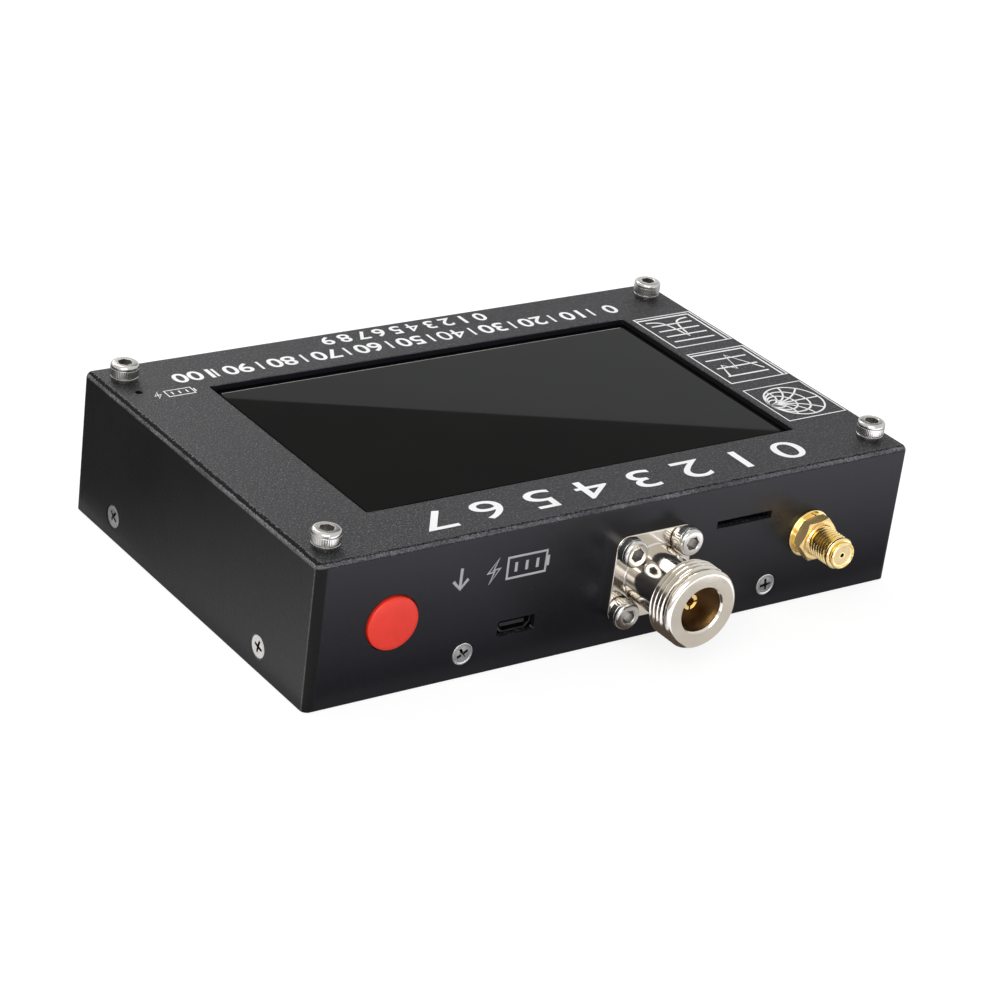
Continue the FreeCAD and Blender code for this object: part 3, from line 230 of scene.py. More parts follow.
def turned(name, sides, rings):
    """A piece turned about +Z: a disc drawn out ring by ring, each a radius and a height in mm."""
    clear()
    radius, height = rings[0]
    bpy.ops.mesh.primitive_circle_add(vertices=sides, radius=radius * MM, fill_type="NGON",
                                      location=(0, 0, height * MM))
    piece = bpy.context.object
    piece.name = name
    open_up(piece)
    for new_radius, new_height in rings[1:]:
        bpy.ops.mesh.extrude_region_move(TRANSFORM_OT_translate={"value": (0, 0, (new_height - height) * MM)})
        share = new_radius / radius
        bpy.ops.transform.resize(value=(share, share, 1), center_override=(0, 0, new_height * MM))
        radius, height = new_radius, new_height
    return renormal(apply_all(piece))


def block(name, size, middle):
    """A box of a size in mm about its middle, to be shaped further."""
    clear()
    bpy.ops.mesh.primitive_cube_add(size=MM, location=Vector(middle) * MM)
    piece = bpy.context.object
    piece.name = name
    piece.scale = size
    return apply_all(piece)


def hex_bar(name, flats, low, high, turn=0.0):
    """A hexagonal bar about +Z, by its width over the flats."""
    corner = flats / math.sqrt(3)
    return settle(turned(name, 6, [(corner, low), (corner, high)]), turn=(0, 0, turn))


def threaded_bar(name, thread, low, high, sides=72):
    """A bar with a right-hand screw thread about +Z, cut square at both ends. Its steps are placed so that no ring
    of vertices falls on a cut."""
    clear()
    crest, root, pitch = thread
    step = pitch / sides
    high = low + step * round((high - low) / step)
    start = low - 2 * pitch + step / 4
    root_land, flank, crest_land = pitch / 4, pitch * 5 / 16, pitch / 8
    chain = [(root, 0), (root, root_land), (crest, root_land + flank),
             (crest, root_land + flank + crest_land), (root, pitch)]
    bpy.ops.mesh.primitive_circle_add(vertices=len(chain), radius=pitch * MM)
    bar = bpy.context.object
    bar.name = name
    open_up(bar)
    form = bmesh.from_edit_mesh(bar.data)
    form.verts.ensure_lookup_table()
    for corner, (radius, height) in zip(form.verts, chain):
        corner.co = Vector((radius, 0, height + start)) * MM
    bmesh.update_edit_mesh(bar.data)
    ends = (form.verts[0], form.verts[len(chain) - 1])
    closing = [edge.index for edge in form.edges if set(edge.verts) == set(ends)]
    pick(bar, "EDGE", lambda edge: edge.index in closing)
    bpy.ops.mesh.delete(type="EDGE")
    hold(bar)
    turn = bar.modifiers.new("turn", "SCREW")
    turn.axis = "Z"
    turn.screw_offset = pitch * MM
    turn.iterations = math.ceil((high - low) / pitch) + 4
    turn.steps = turn.render_steps = sides
    turn.use_merge_vertices = True
    turn.merge_threshold = WELD
    bpy.ops.object.modifier_apply(modifier=turn.name)
    for level, outer in ((low, False), (high, True)):
        open_up(bar)
        bpy.ops.mesh.bisect(plane_co=(0, 0, level * MM), plane_no=(0, 0, 1), use_fill=True,
                            clear_inner=not outer, clear_outer=outer, threshold=ON_CUT)
    return renormal(bar)


# --- Camera ---
AZIMUTH, ELEVATION, ROLL = -37.709, 25.905, 7.452
CAMERA_TARGET, CAMERA_DISTANCE = (13.65, 14.42, 0), 622.5
SENSOR_WIDTH, LENS = 36, 111.66


def make_camera():
    azimuth, elevation, roll = (math.radians(v) for v in (AZIMUTH, ELEVATION, ROLL))
    back = Vector((math.sin(azimuth) * math.cos(elevation),
                   -math.cos(azimuth) * math.cos(elevation), math.sin(elevation)))
    data = bpy.data.cameras.new("camera")
    data.sensor_width = SENSOR_WIDTH
    data.lens = LENS
    camera = add_object("camera", data)
    camera.location = Vector(CAMERA_TARGET) * MM + back * CAMERA_DISTANCE * MM
    camera.rotation_mode = "QUATERNION"
    camera.rotation_quaternion = (-back).to_track_quat("-Z", "Y") @ Quaternion((0, 0, 1), roll)
    bpy.context.scene.camera = camera


# --- Node work ---
class Wiring:
    """The nodes of one material, group or world, placed in a row and linked."""
    SPACING = 180

    def __init__(self, tree):
        self.tree = tree
        self.column = 0

    def put(self, kind, **settings):
        node = self.tree.nodes.new(kind)
        self.column += 1
        node.location = (self.column * self.SPACING, 0)
        for name, value in settings.items():
            setattr(node, name, value)
        return node

    def feed(self, socket, value):
        """Links a socket to another one, or sets its constant."""
        if isinstance(value, bpy.types.NodeSocket):
            self.tree.links.new(value, socket)
        else:
            socket.default_value = value

    def fill(self, node, *values):
        """Feeds a node's first sockets, and gives its first result."""
        for socket, value in zip(node.inputs, values):
            self.feed(socket, value)
        return node.outputs[0]

    def calc(self, operation, a, b=0.0, clamp=False):
        return self.fill(self.put("ShaderNodeMath", operation=operation, use_clamp=clamp), a, b)

    def plus(self, a, b):
        return self.calc("ADD", a, b)

    def minus(self, a, b):
        return self.calc("SUBTRACT", a, b)

    def times(self, a, b):
        return self.calc("MULTIPLY", a, b)

    def ramp(self, value, low, high, bottom=0.0, top=1.0, soft=False):
        """Bottom where the value is at low, top where it is at high."""
        node = self.put("ShaderNodeMapRange")
        node.interpolation_type = "SMOOTHSTEP" if soft else "LINEAR"
        return self.fill(node, value, low, high, bottom, top)

    def blend(self, share, a, b):
        """Colour a where share is 0, colour b where it is 1."""
        node = self.put("ShaderNodeMix", data_type="RGBA")
        colour_a, colour_b, result = node.inputs[6], node.inputs[7], node.outputs[2]
        self.feed(node.inputs[0], share)
        self.feed(colour_a, a)
        self.feed(colour_b, b)
        return result

    def noise(self, where, scale, detail=2.0, roughness=0.5):
        node = self.put("ShaderNodeTexNoise")
        self.feed(node.inputs["Vector"], where)
        self.feed(node.inputs["Scale"], scale)
        node.inputs["Detail"].default_value = detail
        node.inputs["Roughness"].default_value = roughness
        return node.outputs["Fac"]

    def here(self):
        return self.put("ShaderNodeTexCoord").outputs["Object"]

    def parts(self, vector):
        node = self.put("ShaderNodeSeparateXYZ")
        self.fill(node, vector)
        return node.outputs

    def stretched(self, where, scale):
        node = self.put("ShaderNodeMapping")
        self.feed(node.inputs["Vector"], where)
        self.feed(node.inputs["Scale"], scale)
        return node.outputs["Vector"]

    def group(self, tree, **values):
        """A node group, with the values of the sockets of those names."""
        node = self.put("ShaderNodeGroup")
        node.node_tree = tree
        for name, value in values.items():
            self.feed(node.inputs[name.replace("_", " ")], value)
        return node


def new_group(name, inputs, outputs):
    """A node group with its sockets, its wiring and its two ends. An input's value is a number or a vector."""
    tree = bpy.data.node_groups.new(name, "ShaderNodeTree")
    for label, value in inputs.items():
        kind = "NodeSocketVector" if isinstance(value, tuple) else "NodeSocketFloat"
        socket = tree.interface.new_socket(label, in_out="INPUT", socket_type=kind)
        socket.default_value = value
    for label in outputs:
        tree.interface.new_socket(label, in_out="OUTPUT", socket_type="NodeSocketFloat")
    w = Wiring(tree)
    return tree, w, w.put("NodeGroupInput"), w.put("NodeGroupOutput")


def make_coat_grain():
    """The orange-peel grain of a baked powder coat, and the lighter grains that stand out in it."""
    tree, w, entry, leave = new_group("coat grain", {"Grains per Metre": 3000.0}, ["Height", "Specks"])
    here, grains = w.here(), entry.outputs[0]
    fine = w.noise(here, grains, 2.5, 0.6)
    coarse = w.noise(here, w.times(grains, 0.33), 2.0, 0.5)
    w.feed(leave.inputs["Height"], w.plus(w.times(fine, 0.75), w.times(coarse, 0.25)))
    dots = w.noise(here, w.times(grains, 0.8), 1.0, 0.4)
    w.feed(leave.inputs["Specks"], w.ramp(dots, 0.56, 0.74, soft=True))
    return tree


def make_fold_bands():
    """Where a folded edge turns from the top to a wall: a thin line of painted highlight, a valley of painted shade,
    then a strip of painted sheen, standing in for the light and shade on the rounded bend. The valley is broad on the
    end folds, where Side is 1, and thin on the long ones, where it is 0. Level is the top. The last two outputs are a
    band of painted shade on the wall beside the front-left and back-right corners, and a line of painted highlight on
    the corner's round beside it."""
    outputs = ["Line", "Shade", "Bend Sheen", "Side", "Level", "End Wall", "Seam", "Corner Sheen"]
    tree, w, entry, leave = new_group("fold bands", {"Grains per Metre": 2600.0}, outputs)
    where = w.put("ShaderNodeTexCoord")
    here = where.outputs["Object"]
    place, normal = w.parts(here), w.parts(where.outputs["Normal"])
    across, forward = w.calc("ABSOLUTE", normal[0]), w.calc("ABSOLUTE", normal[1])
    side = w.calc("DIVIDE", across, w.plus(w.plus(across, forward), 0.001))

    def by_fold(long_fold, end_fold):
        return w.ramp(side, 0.2, 0.8, long_fold, end_fold)

    ragged = w.minus(w.noise(here, entry.outputs[0], 2.0, 0.6), 0.5)
    bend = w.ramp(normal[2], 0.9999, 0.97)
    up = w.plus(normal[2], w.times(w.times(ragged, bend), 0.42))
    # A thin line of painted highlight where the top begins to bend.
    line = w.times(w.ramp(normal[2], 0.9995, 0.996, soft=True), w.ramp(up, 0.90, 0.95, soft=True))
    start, end, low = by_fold(0.915, 0.985), by_fold(0.845, 0.70), by_fold(0.30, 0.12)
    # The valley of painted shade on the bend.
    valley = w.times(w.ramp(up, start, w.minus(start, 0.03)), w.ramp(up, w.minus(end, 0.03), end))
    # The strip of painted sheen below the valley.
    bend_sheen = w.times(w.ramp(up, end, w.minus(end, 0.05)), w.ramp(up, low, w.plus(low, 0.15)))
    # Beside the front-left and back-right corners: painted shade on the wall, and a painted highlight line on the
    # round.
    along = w.times(place[0], w.calc("SIGN", place[1]))
    corner = w.times(w.ramp(along, 64.8 * MM, 65.2 * MM), w.ramp(normal[2], 0.5, 0.2))
    corner_sheen = w.times(w.ramp(across, 0.9995, 0.99), w.ramp(across, 0.93, 0.96))
    results = (line, valley, bend_sheen, side, w.ramp(normal[2], 0.5, 0.99), w.ramp(across, 0.4, 0.8),
               w.times(corner, w.ramp(across, 0.955, 0.90)), w.times(corner, corner_sheen))
    for label, value in zip(outputs, results):
        w.feed(leave.inputs[label], value)
    return tree


def make_handling():
    """Broad uneven tone and fine tooth that every handled surface has."""
    tree, w, entry, leave = new_group("handling", {"Patches per Metre": 60.0, "Tooth per Metre": 4000.0},
                                      ["Tone", "Tooth"])
    here = w.here()
    patches = w.noise(here, entry.outputs["Patches per Metre"], 3.0, 0.55)
    w.feed(leave.inputs["Tone"], w.ramp(patches, 0.3, 0.7, soft=True))
    w.feed(leave.inputs["Tooth"], w.noise(here, entry.outputs["Tooth per Metre"], 2.0, 0.5))
    return tree


def make_tool_lines():
    """Fine lines left by a lathe tool: close together along one direction, long in the others."""
    tree, w, entry, leave = new_group("tool lines", {"Direction": (0.02, 1.0, 0.02), "Lines per Metre": 9000.0},
                                      ["Lines"])
    where = w.stretched(w.here(), entry.outputs["Direction"])
    w.feed(leave.inputs["Lines"], w.noise(where, entry.outputs["Lines per Metre"], 2.0, 0.6))
    return tree


COAT_GRAIN = make_coat_grain()
FOLD_BANDS = make_fold_bands()
HANDLING = make_handling()
TOOL_LINES = make_tool_lines()
ALONG_Y = (0.02, 1.0, 0.02)
ALL_WAYS = (0.3, 0.3, 0.3)
MATERIALS = {}


def wired(holder):
    """The empty node tree of a new material or world."""
    holder.use_nodes = True
    holder.node_tree.nodes.clear()
    return Wiring(holder.node_tree)


def new_finish(name):
    """A material of the part, with its shader."""
    material = MATERIALS[name] = bpy.data.materials.new(name)
    w = wired(material)
    shader = w.put("ShaderNodeBsdfPrincipled")
    w.feed(w.put("ShaderNodeOutputMaterial").inputs["Surface"], shader.outputs[0])
    return w, shader


def bump(w, shader, height, distance):
    """Raises the surface where height is 1, by a distance in mm."""
    node = w.put("ShaderNodeBump")
    node.inputs["Strength"].default_value = 1.0
    node.inputs["Distance"].default_value = distance * MM
    w.feed(node.inputs["Height"], height)
    w.feed(shader.inputs["Normal"], node.outputs[0])


def shade(colour, factor):
    return (*(min(1.0, channel * factor) for channel in colour), 1.0)


def uneven(w, shader, tone, colour, vary):
    """The base colour, a little darker and lighter from place to place."""
    w.feed(shader.inputs["Base Color"], w.blend(tone, shade(colour, 1 - vary), shade(colour, 1 + vary)))


def plain(name, colour, rough, metal=0.0, specular=0.5, vary=0.12, patches=60.0, tooth=4000.0, depth=0.004):
    """A finish with uneven tone, uneven gloss and a fine tooth."""
    gloss_spread = 0.03
    w, shader = new_finish(name)
    marks = w.group(HANDLING, Patches_per_Metre=patches, Tooth_per_Metre=tooth)
    tone = marks.outputs["Tone"]
    uneven(w, shader, tone, colour, vary)
    w.feed(shader.inputs["Roughness"], w.ramp(tone, 0, 1, rough - gloss_spread, rough + gloss_spread))
    shader.inputs["Metallic"].default_value = metal
    shader.inputs["Specular IOR Level"].default_value = specular
    bump(w, shader, marks.outputs["Tooth"], depth)


def powder_coat(name, grains=3100.0):
    """Black paint: grainy on the top, smoother on the walls, and lighter on the top than on the walls as painted
    light, with painted highlights and painted shade along the folds and beside two corners.
    """
    w, shader = new_finish(name)
    grain = w.group(COAT_GRAIN, Grains_per_Metre=grains)
    bands = w.group(FOLD_BANDS, Grains_per_Metre=grains * 0.8)
    patches = w.group(HANDLING, Patches_per_Metre=45.0, Tooth_per_Metre=1400.0)
    height, tone = grain.outputs["Height"], patches.outputs["Tone"]
    level, end_wall, side = bands.outputs["Level"], bands.outputs["End Wall"], bands.outputs["Side"]
    texture = w.calc("MAXIMUM", level, w.ramp(end_wall, 0, 1, 0.16, 0.26))
    # Copies of one black, darker and bluish on the long walls, lighter on the ends and the top: painted light and
    # shade.
    wall = w.blend(tone, (0.0050, 0.0049, 0.0072, 1), (0.0066, 0.0065, 0.0094, 1))
    end = w.blend(tone, (0.0078, 0.0078, 0.0084, 1), (0.0112, 0.0112, 0.0118, 1))
    top = w.blend(tone, (0.0078, 0.0073, 0.0090, 1), (0.0106, 0.0101, 0.0120, 1))
    coat = w.blend(level, w.blend(end_wall, wall, end), top)
    pits = w.times(w.ramp(height, 0.46, 0.36), w.ramp(texture, 0.3, 1, 0.0, 0.75))
    coat = w.blend(pits, coat, (0.004, 0.004, 0.005, 1))
    specks = w.times(grain.outputs["Specks"], w.ramp(texture, 0.25, 1, 0.0, 0.95))
    coat = w.blend(specks, coat, (0.105, 0.102, 0.112, 1))
    # Painted sheen along the bends, broken up by broad noise and the grain, and a little lighter on the end folds.
    sheen_breakup = w.ramp(w.noise(w.here(), 70.0, 2.0, 0.5), 0.36, 0.62, 0.45, 1.0, soft=True)
    bend_sheen = w.times(w.times(bands.outputs["Bend Sheen"], sheen_breakup), w.ramp(height, 0.38, 0.62, 0.15, 1.0))
    coat = w.blend(bend_sheen, coat, w.blend(side, (0.20, 0.20, 0.215, 1), (0.23, 0.23, 0.235, 1)))
    # A thin line of painted highlight at the top of each bend.
    coat = w.blend(w.times(bands.outputs["Line"], 0.45), coat, (0.085, 0.083, 0.09, 1))
    # A line of painted highlight on the rounded front-left and back-right corners.
    coat = w.blend(w.times(bands.outputs["Corner Sheen"], w.ramp(height, 0.40, 0.60, 0.35, 0.9)), coat,
                   (0.11, 0.11, 0.11, 1))
    # Painted shade in the bend valleys and beside those two corners, where the paint is also made rougher.
    dark = w.calc("MAXIMUM", bands.outputs["Shade"], w.times(bands.outputs["Seam"], 0.85))
    coat = w.blend(dark, coat, (0.0012, 0.0012, 0.0012, 1))
    w.feed(shader.inputs["Base Color"], coat)
    rough = w.plus(w.ramp(height, 0.3, 0.7, 0.42, 0.32), w.times(level, 0.08))
    w.feed(shader.inputs["Roughness"], w.calc("ADD", rough, w.times(dark, 0.5), clamp=True))
    shader.inputs["Specular IOR Level"].default_value = 0.25
    bump(w, shader, w.times(height, texture), 0.2)


def turned_metal(name, colour, rough, lines=9000.0, direction=ALONG_Y, ripple=0.0015, vary=0.05, metal=1.0):
    """A plated or bare metal with lathe lines across one axis."""
    w, shader = new_finish(name)
    cut = w.group(TOOL_LINES, Direction=direction, Lines_per_Metre=lines).outputs["Lines"]
    marks = w.group(HANDLING, Patches_per_Metre=130.0, Tooth_per_Metre=900.0)
    tone = marks.outputs["Tone"]
    uneven(w, shader, tone, colour, vary)
    gloss = w.plus(w.ramp(tone, 0, 1, rough * 0.8, rough * 1.2), w.ramp(cut, 0.3, 0.7, -0.02, 0.04))
    w.feed(shader.inputs["Roughness"], gloss)
    shader.inputs["Metallic"].default_value = metal
    bump(w, shader, w.plus(w.times(cut, 0.5), marks.outputs["Tooth"]), ripple)


def touch_glass():
    w, shader = new_finish("touch_glass")
    tone = w.group(HANDLING, Patches_per_Metre=35.0, Tooth_per_Metre=300.0).outputs["Tone"]
    w.feed(shader.inputs["Base Color"], w.blend(tone, (0.0030, 0.0030, 0.0030, 1), (0.0042, 0.0042, 0.0040, 1)))
    w.feed(shader.inputs["Roughness"], w.ramp(tone, 0, 1, 0.012, 0.022))
    shader.inputs["Specular IOR Level"].default_value = 0.059
    shader.inputs["Specular Tint"].default_value = (1.0, 1.0, 0.90, 1)


def board_laminate():
    w, shader = new_finish("board_laminate")
    marks = w.group(HANDLING, Patches_per_Metre=200.0, Tooth_per_Metre=5000.0)
    tracks = w.put("ShaderNodeTexBrick")
    w.feed(tracks.inputs["Vector"], w.here())
    tracks.inputs["Scale"].default_value = 120
    w.feed(tracks.inputs["Color1"], (0.006, 0.045, 0.020, 1))
    w.feed(tracks.inputs["Color2"], (0.008, 0.060, 0.028, 1))
    w.feed(tracks.inputs["Mortar"], (0.014, 0.100, 0.045, 1))
    w.feed(shader.inputs["Base Color"], w.blend(marks.outputs["Tone"], tracks.outputs["Color"],
                                                (0.006, 0.050, 0.024, 1)))
    w.feed(shader.inputs["Roughness"], w.ramp(marks.outputs["Tooth"], 0.3, 0.7, 0.28, 0.4))
    bump(w, shader, tracks.outputs["Fac"], 0.02)


def button_plastic():
    w, shader = new_finish("button_red")
    marks = w.group(HANDLING, Patches_per_Metre=220.0, Tooth_per_Metre=3500.0)
    w.feed(shader.inputs["Base Color"], w.blend(marks.outputs["Tone"], (0.83, 0.028, 0.009, 1),
                                                (0.91, 0.034, 0.012, 1)))
    w.feed(shader.inputs["Roughness"], w.ramp(marks.outputs["Tooth"], 0.3, 0.7, 0.34, 0.46))
    bump(w, shader, marks.outputs["Tooth"], 0.006)


def make_finishes():
    """Fills MATERIALS: the finishes of the slots, then those of single pieces, then the inks."""
    powder_coat("cover_paint")
    powder_coat("tray_paint", grains=2900.0)
    turned_metal("stainless", (0.55, 0.535, 0.51), 0.22, direction=ALL_WAYS, ripple=0.003)
    plain("plated_standoff", (0.62, 0.60, 0.55), 0.3, metal=1.0, patches=300)
    plain("foam", (0.010, 0.010, 0.011), 0.8, specular=0.2, depth=0.03, tooth=2500)
    touch_glass()
    plain("dark_panel", (0.012, 0.012, 0.014), 0.2)
    plain("light_guide", (0.75, 0.76, 0.78), 0.3)
    plain("folded_tin", (0.58, 0.58, 0.57), 0.27, metal=1.0, patches=250)
    plain("ribbon_film", (0.45, 0.20, 0.05), 0.3, patches=150)
    board_laminate()
    plain("black_moulding", (0.013, 0.013, 0.014), 0.5, depth=0.01)
    plain("lamp_resin", (0.35, 0.36, 0.37), 0.25, patches=400)
    button_plastic()
    plain("white_moulding", (0.74, 0.73, 0.69), 0.45)
    turned_metal("nickel_plate", (0.68, 0.635, 0.565), 0.11)
    plain("white_insulator", (0.84, 0.80, 0.72), 0.4, specular=0.4)
    turned_metal("gold_plate", (0.94, 0.73, 0.34), 0.12, lines=12000.0)
    plain("cell_foil", (0.55, 0.56, 0.57), 0.38, metal=0.8, patches=90, depth=0.02)
    plain("tape_foam", (0.72, 0.71, 0.66), 0.8, specular=0.2, depth=0.03, tooth=2000)
    plain("lead_sheath", (0.45, 0.012, 0.010), 0.4)
    # Darker, browner metal for the bore of the large socket: painted shade in the bore.
    turned_metal("bore_shade_metal", (0.40, 0.28, 0.155), 0.34, vary=0.2)
    turned_metal("nut_gold", (0.93, 0.69, 0.31), 0.30, direction=ALL_WAYS, ripple=0.003, metal=0.75)
    plain("warm_insulator", (0.93, 0.71, 0.38), 0.3, specular=0.4, patches=400)
    # Darker steel for the screw sockets: painted shade in the socket.
    plain("socket_shade_steel", (0.36, 0.345, 0.33), 0.36, metal=1.0, patches=600, vary=0.3)
    plain("shaded_tin", (0.10, 0.10, 0.10), 0.35, metal=1.0, patches=300, vary=0.25)
    # Light grey for the far edge of the screen lens: a painted highlight line.
    plain("lens_edge_highlight", (0.34, 0.34, 0.33), 0.3, patches=150, vary=0.2)
    turned_metal("zinc_plate", (0.80, 0.785, 0.76), 0.28, direction=ALL_WAYS, ripple=0.006)
    plain("white_ink", (0.93, 0.93, 0.93), 0.5, specular=0.4, vary=0.03, patches=200, depth=0.006)
    plain("grey_ink", (0.42, 0.425, 0.44), 0.42, vary=0.05, patches=200, depth=0.006)


OWN_FINISH = {"sma_insulator": "warm_insulator", "micro_usb_socket": "shaded_tin", "card_socket": "shaded_tin"}


def dress_nodes():
    """Every CAD piece takes the finish that its slot names, or the one in OWN_FINISH."""
    for name, node in NODES.items():
        for slot in node.material_slots:
            slot.material = MATERIALS[OWN_FINISH.get(name, slot.material.name.split(".")[0])]


def finish_piece(piece, finish=None, body="case", stands_for=()):
    """Gives a piece its finish, unless its faces have theirs already, and says what it rides on."""
    if finish:
        give_finishes(piece, finish)
    if stands_for:
        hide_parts(*stands_for)
    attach(piece, body)


# --- Cover ---
def make_cover_skin():
    """The folded cover's own shape, with its bends shaded round and the window's rim broken."""
    skin = cad_copy("top_cover", "cover_skin")
    bpy.ops.mesh.dissolve_limited(angle_limit=math.radians(0.5))

    def on_window_rim(edge):
        inside = all(v.co.z > (COVER_TOP - 0.01) * MM and RIM_LOW[0] * MM < v.co.x < RIM_HIGH[0] * MM
                     and RIM_LOW[1] * MM < v.co.y < RIM_HIGH[1] * MM for v in edge.verts)
        return inside and min(abs(face.normal.z) for face in edge.link_faces) < 0.5

    rim_round = 0.14
    pick(skin, "EDGE", on_window_rim)
    bpy.ops.mesh.bevel(offset=rim_round * MM, segments=2, affect="EDGES")
    finish_piece(smooth(skin, 35), "cover_paint", stands_for=["top_cover"])


# --- Screen lens ---
def make_screen_lens():
    """The clear top layer of the screen, a little smaller than the window: its edges slope down, and the far one is
    light grey, a painted highlight line along the back of the glass."""
    low, high = Vector((-47.1, -26.7, 27.6)), Vector((48.4, 26.2, 27.95))
    corner_round, slope, rise, far_edge = 0.8, 0.3, 0.05, 0.35
    lens = block("screen_lens", high - low, (low + high) / 2)
    open_up(lens)
    pick(lens, "EDGE", lambda e: abs(e.verts[0].co.z - e.verts[1].co.z) > 0.1 * MM)
    bpy.ops.mesh.bevel(offset=corner_round * MM, segments=5, affect="EDGES")
    pick(lens, "FACE", lambda face: face.normal.z > 0.9)
    bpy.ops.mesh.inset(thickness=slope * MM, depth=rise * MM)
    clear()
    # The far edge's faces take the light grey: a painted highlight line.
    two_finishes(lens, "touch_glass", "lens_edge_highlight",
                 lambda corners: min(c.y for c in corners) > high.y - far_edge)
    finish_piece(smooth(lens, 5))


# --- Screws ---
def make_cap_screw(shank, stem):
    """A knurled cap screw: stem, base ring, groove, knurled band, rounded crown and hexagon socket."""
    sides = 96
    knurl_low, knurl_high, knurl, tooth_share = stem + 0.62, stem + 1.95, 2.73, 0.984
    key, socket_floor, socket_mouth = 2.5, stem + 1.5, 1.46
    ring = [(2.1, 0.0), (2.16, stem - 0.14), (2.48, stem - 0.1), (2.6, stem - 0.03), (2.62, stem + 0.28),
            (2.56, stem + 0.34), (2.38, stem + 0.38), (2.38, stem + 0.46), (2.64, stem + 0.53)]
    if stem < 0.2:
        ring = [(2.36, 0.0), (2.44, 0.08), (2.44, 0.3), (2.4, 0.35), (2.3, 0.38), (2.3, 0.48), (2.6, 0.54)]
    crown = [(2.67, 2.0), (2.7, 2.1), (2.71, 2.45), (2.66, 2.64), (2.57, 2.79), (2.44, 2.9), (2.3, 2.97),
             (2.12, 3.0), (1.53, 3.0), (1.47, 2.95)]
    screw = turned("cap_screw", sides, [(1.25, -shank), (1.5, -shank + 0.25), (1.5, 0.0)] + ring
                   + [(knurl, knurl_low), (knurl, knurl_high)] + [(r, stem + h) for r, h in crown])
    tooth = 2 * math.pi / sides
    open_up(screw)
    pick(screw, "VERT", lambda v: knurl_low - 0.01 < v.co.z / MM < knurl_high + 0.01
         and v.co.xy.length / MM > knurl - 0.02 and round(math.atan2(v.co.y, v.co.x) / tooth) % 2 == 1)
    bpy.ops.transform.resize(value=(tooth_share, tooth_share, 1), center_override=(0, 0, 0))
    clear()
    carve(screw, hex_bar("key_socket", key, socket_floor, stem + 3.2))
    # The hexagon socket takes the darker steel: painted shade.
    two_finishes(screw, "stainless", "socket_shade_steel", lambda corners: max(c.xy.length for c in corners) < socket_mouth
                 and min(c.z for c in corners) > socket_floor - 0.1)
    return screw


def make_cap_screws():
    signs = [(a, b) for a in (-1, 1) for b in (-1, 1)]
    corners = [((sx * CORNER_X, sy * CORNER_Y, COVER_TOP), UPRIGHT) for sx, sy in signs]
    reach = FLANGE_SCREW_REACH
    flange = [((N_AXIS[0] + sx * reach, FRONT_WALL - FLANGE_THICK, N_AXIS[1] + sz * reach), OUT_OF_FRONT)
              for sx, sz in signs]
    for name, node, shank, stem, places in (("cover_cap_screws", "corner_cap_screws", 12.0, 0.5, corners),
                                            ("flange_cap_screws", "n_flange_screws", 8.0, 0.0, flange)):
        screws = set_copies(make_cap_screw(shank, stem), name, places, first_turn=0.35, next_turn=0.41)
        finish_piece(screws, stands_for=[node])


def make_wall_screws():
    """Small countersunk screws with a tapered cross recess, one shape set in each wall."""
    screw = turned("wall_screw", 48, [
        (0.9, -4.75), (1.25, -4.4), (1.25, -0.95), (2.1, -0.14), (2.2, -0.08), (2.2, 0.0), (2.15, 0.07),
        (2.05, 0.1), (1.92, 0.08), (1.8, 0.02), (1.62, 0.0), (1.2, 0.03), (0.6, 0.06), (0.15, 0.065)])
    arm, width, depth, spare = 2.9, 0.62, 0.8, 0.2
    for turn in (0, QUARTER):
        slot = block("cross", (arm, width, depth + spare), (0, 0, (spare - depth) / 2))
        open_up(slot)
        pick(slot, "FACE", lambda face: face.normal.z < -0.9)
        bpy.ops.transform.resize(value=(0.3, 0.4, 1), center_override=(0, 0, -depth * MM))
        clear()
        carve(screw, settle(slot, turn=(0, 0, turn)))
    two_finishes(screw, "zinc_plate", "shaded_tin", lambda corners: max(c.xy.length for c in corners) < arm / 2 + 0.11
                 and -depth - 0.1 < min(c.z for c in corners) < -0.05)
    inset = 0.25
    places = []
    for x in (-34.1, 35.9):
        places += [((x, side * (HALF_DEPTH - inset), WALL_SCREW_LEVEL), turn)
                   for side, turn in ((-1, OUT_OF_FRONT), (1, OUT_OF_BACK))]
    for y in (-25.9, 28.1):
        places += [((side * (HALF_WIDTH - inset), y, WALL_SCREW_LEVEL), turn)
                   for side, turn in ((-1, OUT_OF_LEFT), (1, OUT_OF_RIGHT))]
    screws = set_copies(screw, "wall_screws", places, first_turn=0.5, next_turn=0.6)
    finish_piece(screws, stands_for=["side_screws"])


# --- Large coaxial socket ---
def make_n_flange():
    """The square flange, with rounded corners and a softened front rim."""
    side, corner_round, rim_round = 17.6, 2.45, 0.22
    flange = block("n_flange", (side, side, FLANGE_THICK), (0, 0, FLANGE_THICK / 2))
    open_up(flange)
    pick(flange, "EDGE", lambda e: abs(e.verts[0].co.z - e.verts[1].co.z) > MM)
    bpy.ops.mesh.bevel(offset=corner_round * MM, segments=8, affect="EDGES")
    pick(flange, "EDGE", lambda e: all(v.co.z > (FLANGE_THICK - 0.01) * MM for v in e.verts))
    bpy.ops.mesh.bevel(offset=rim_round * MM, segments=3, affect="EDGES")
    clear()
    return flange


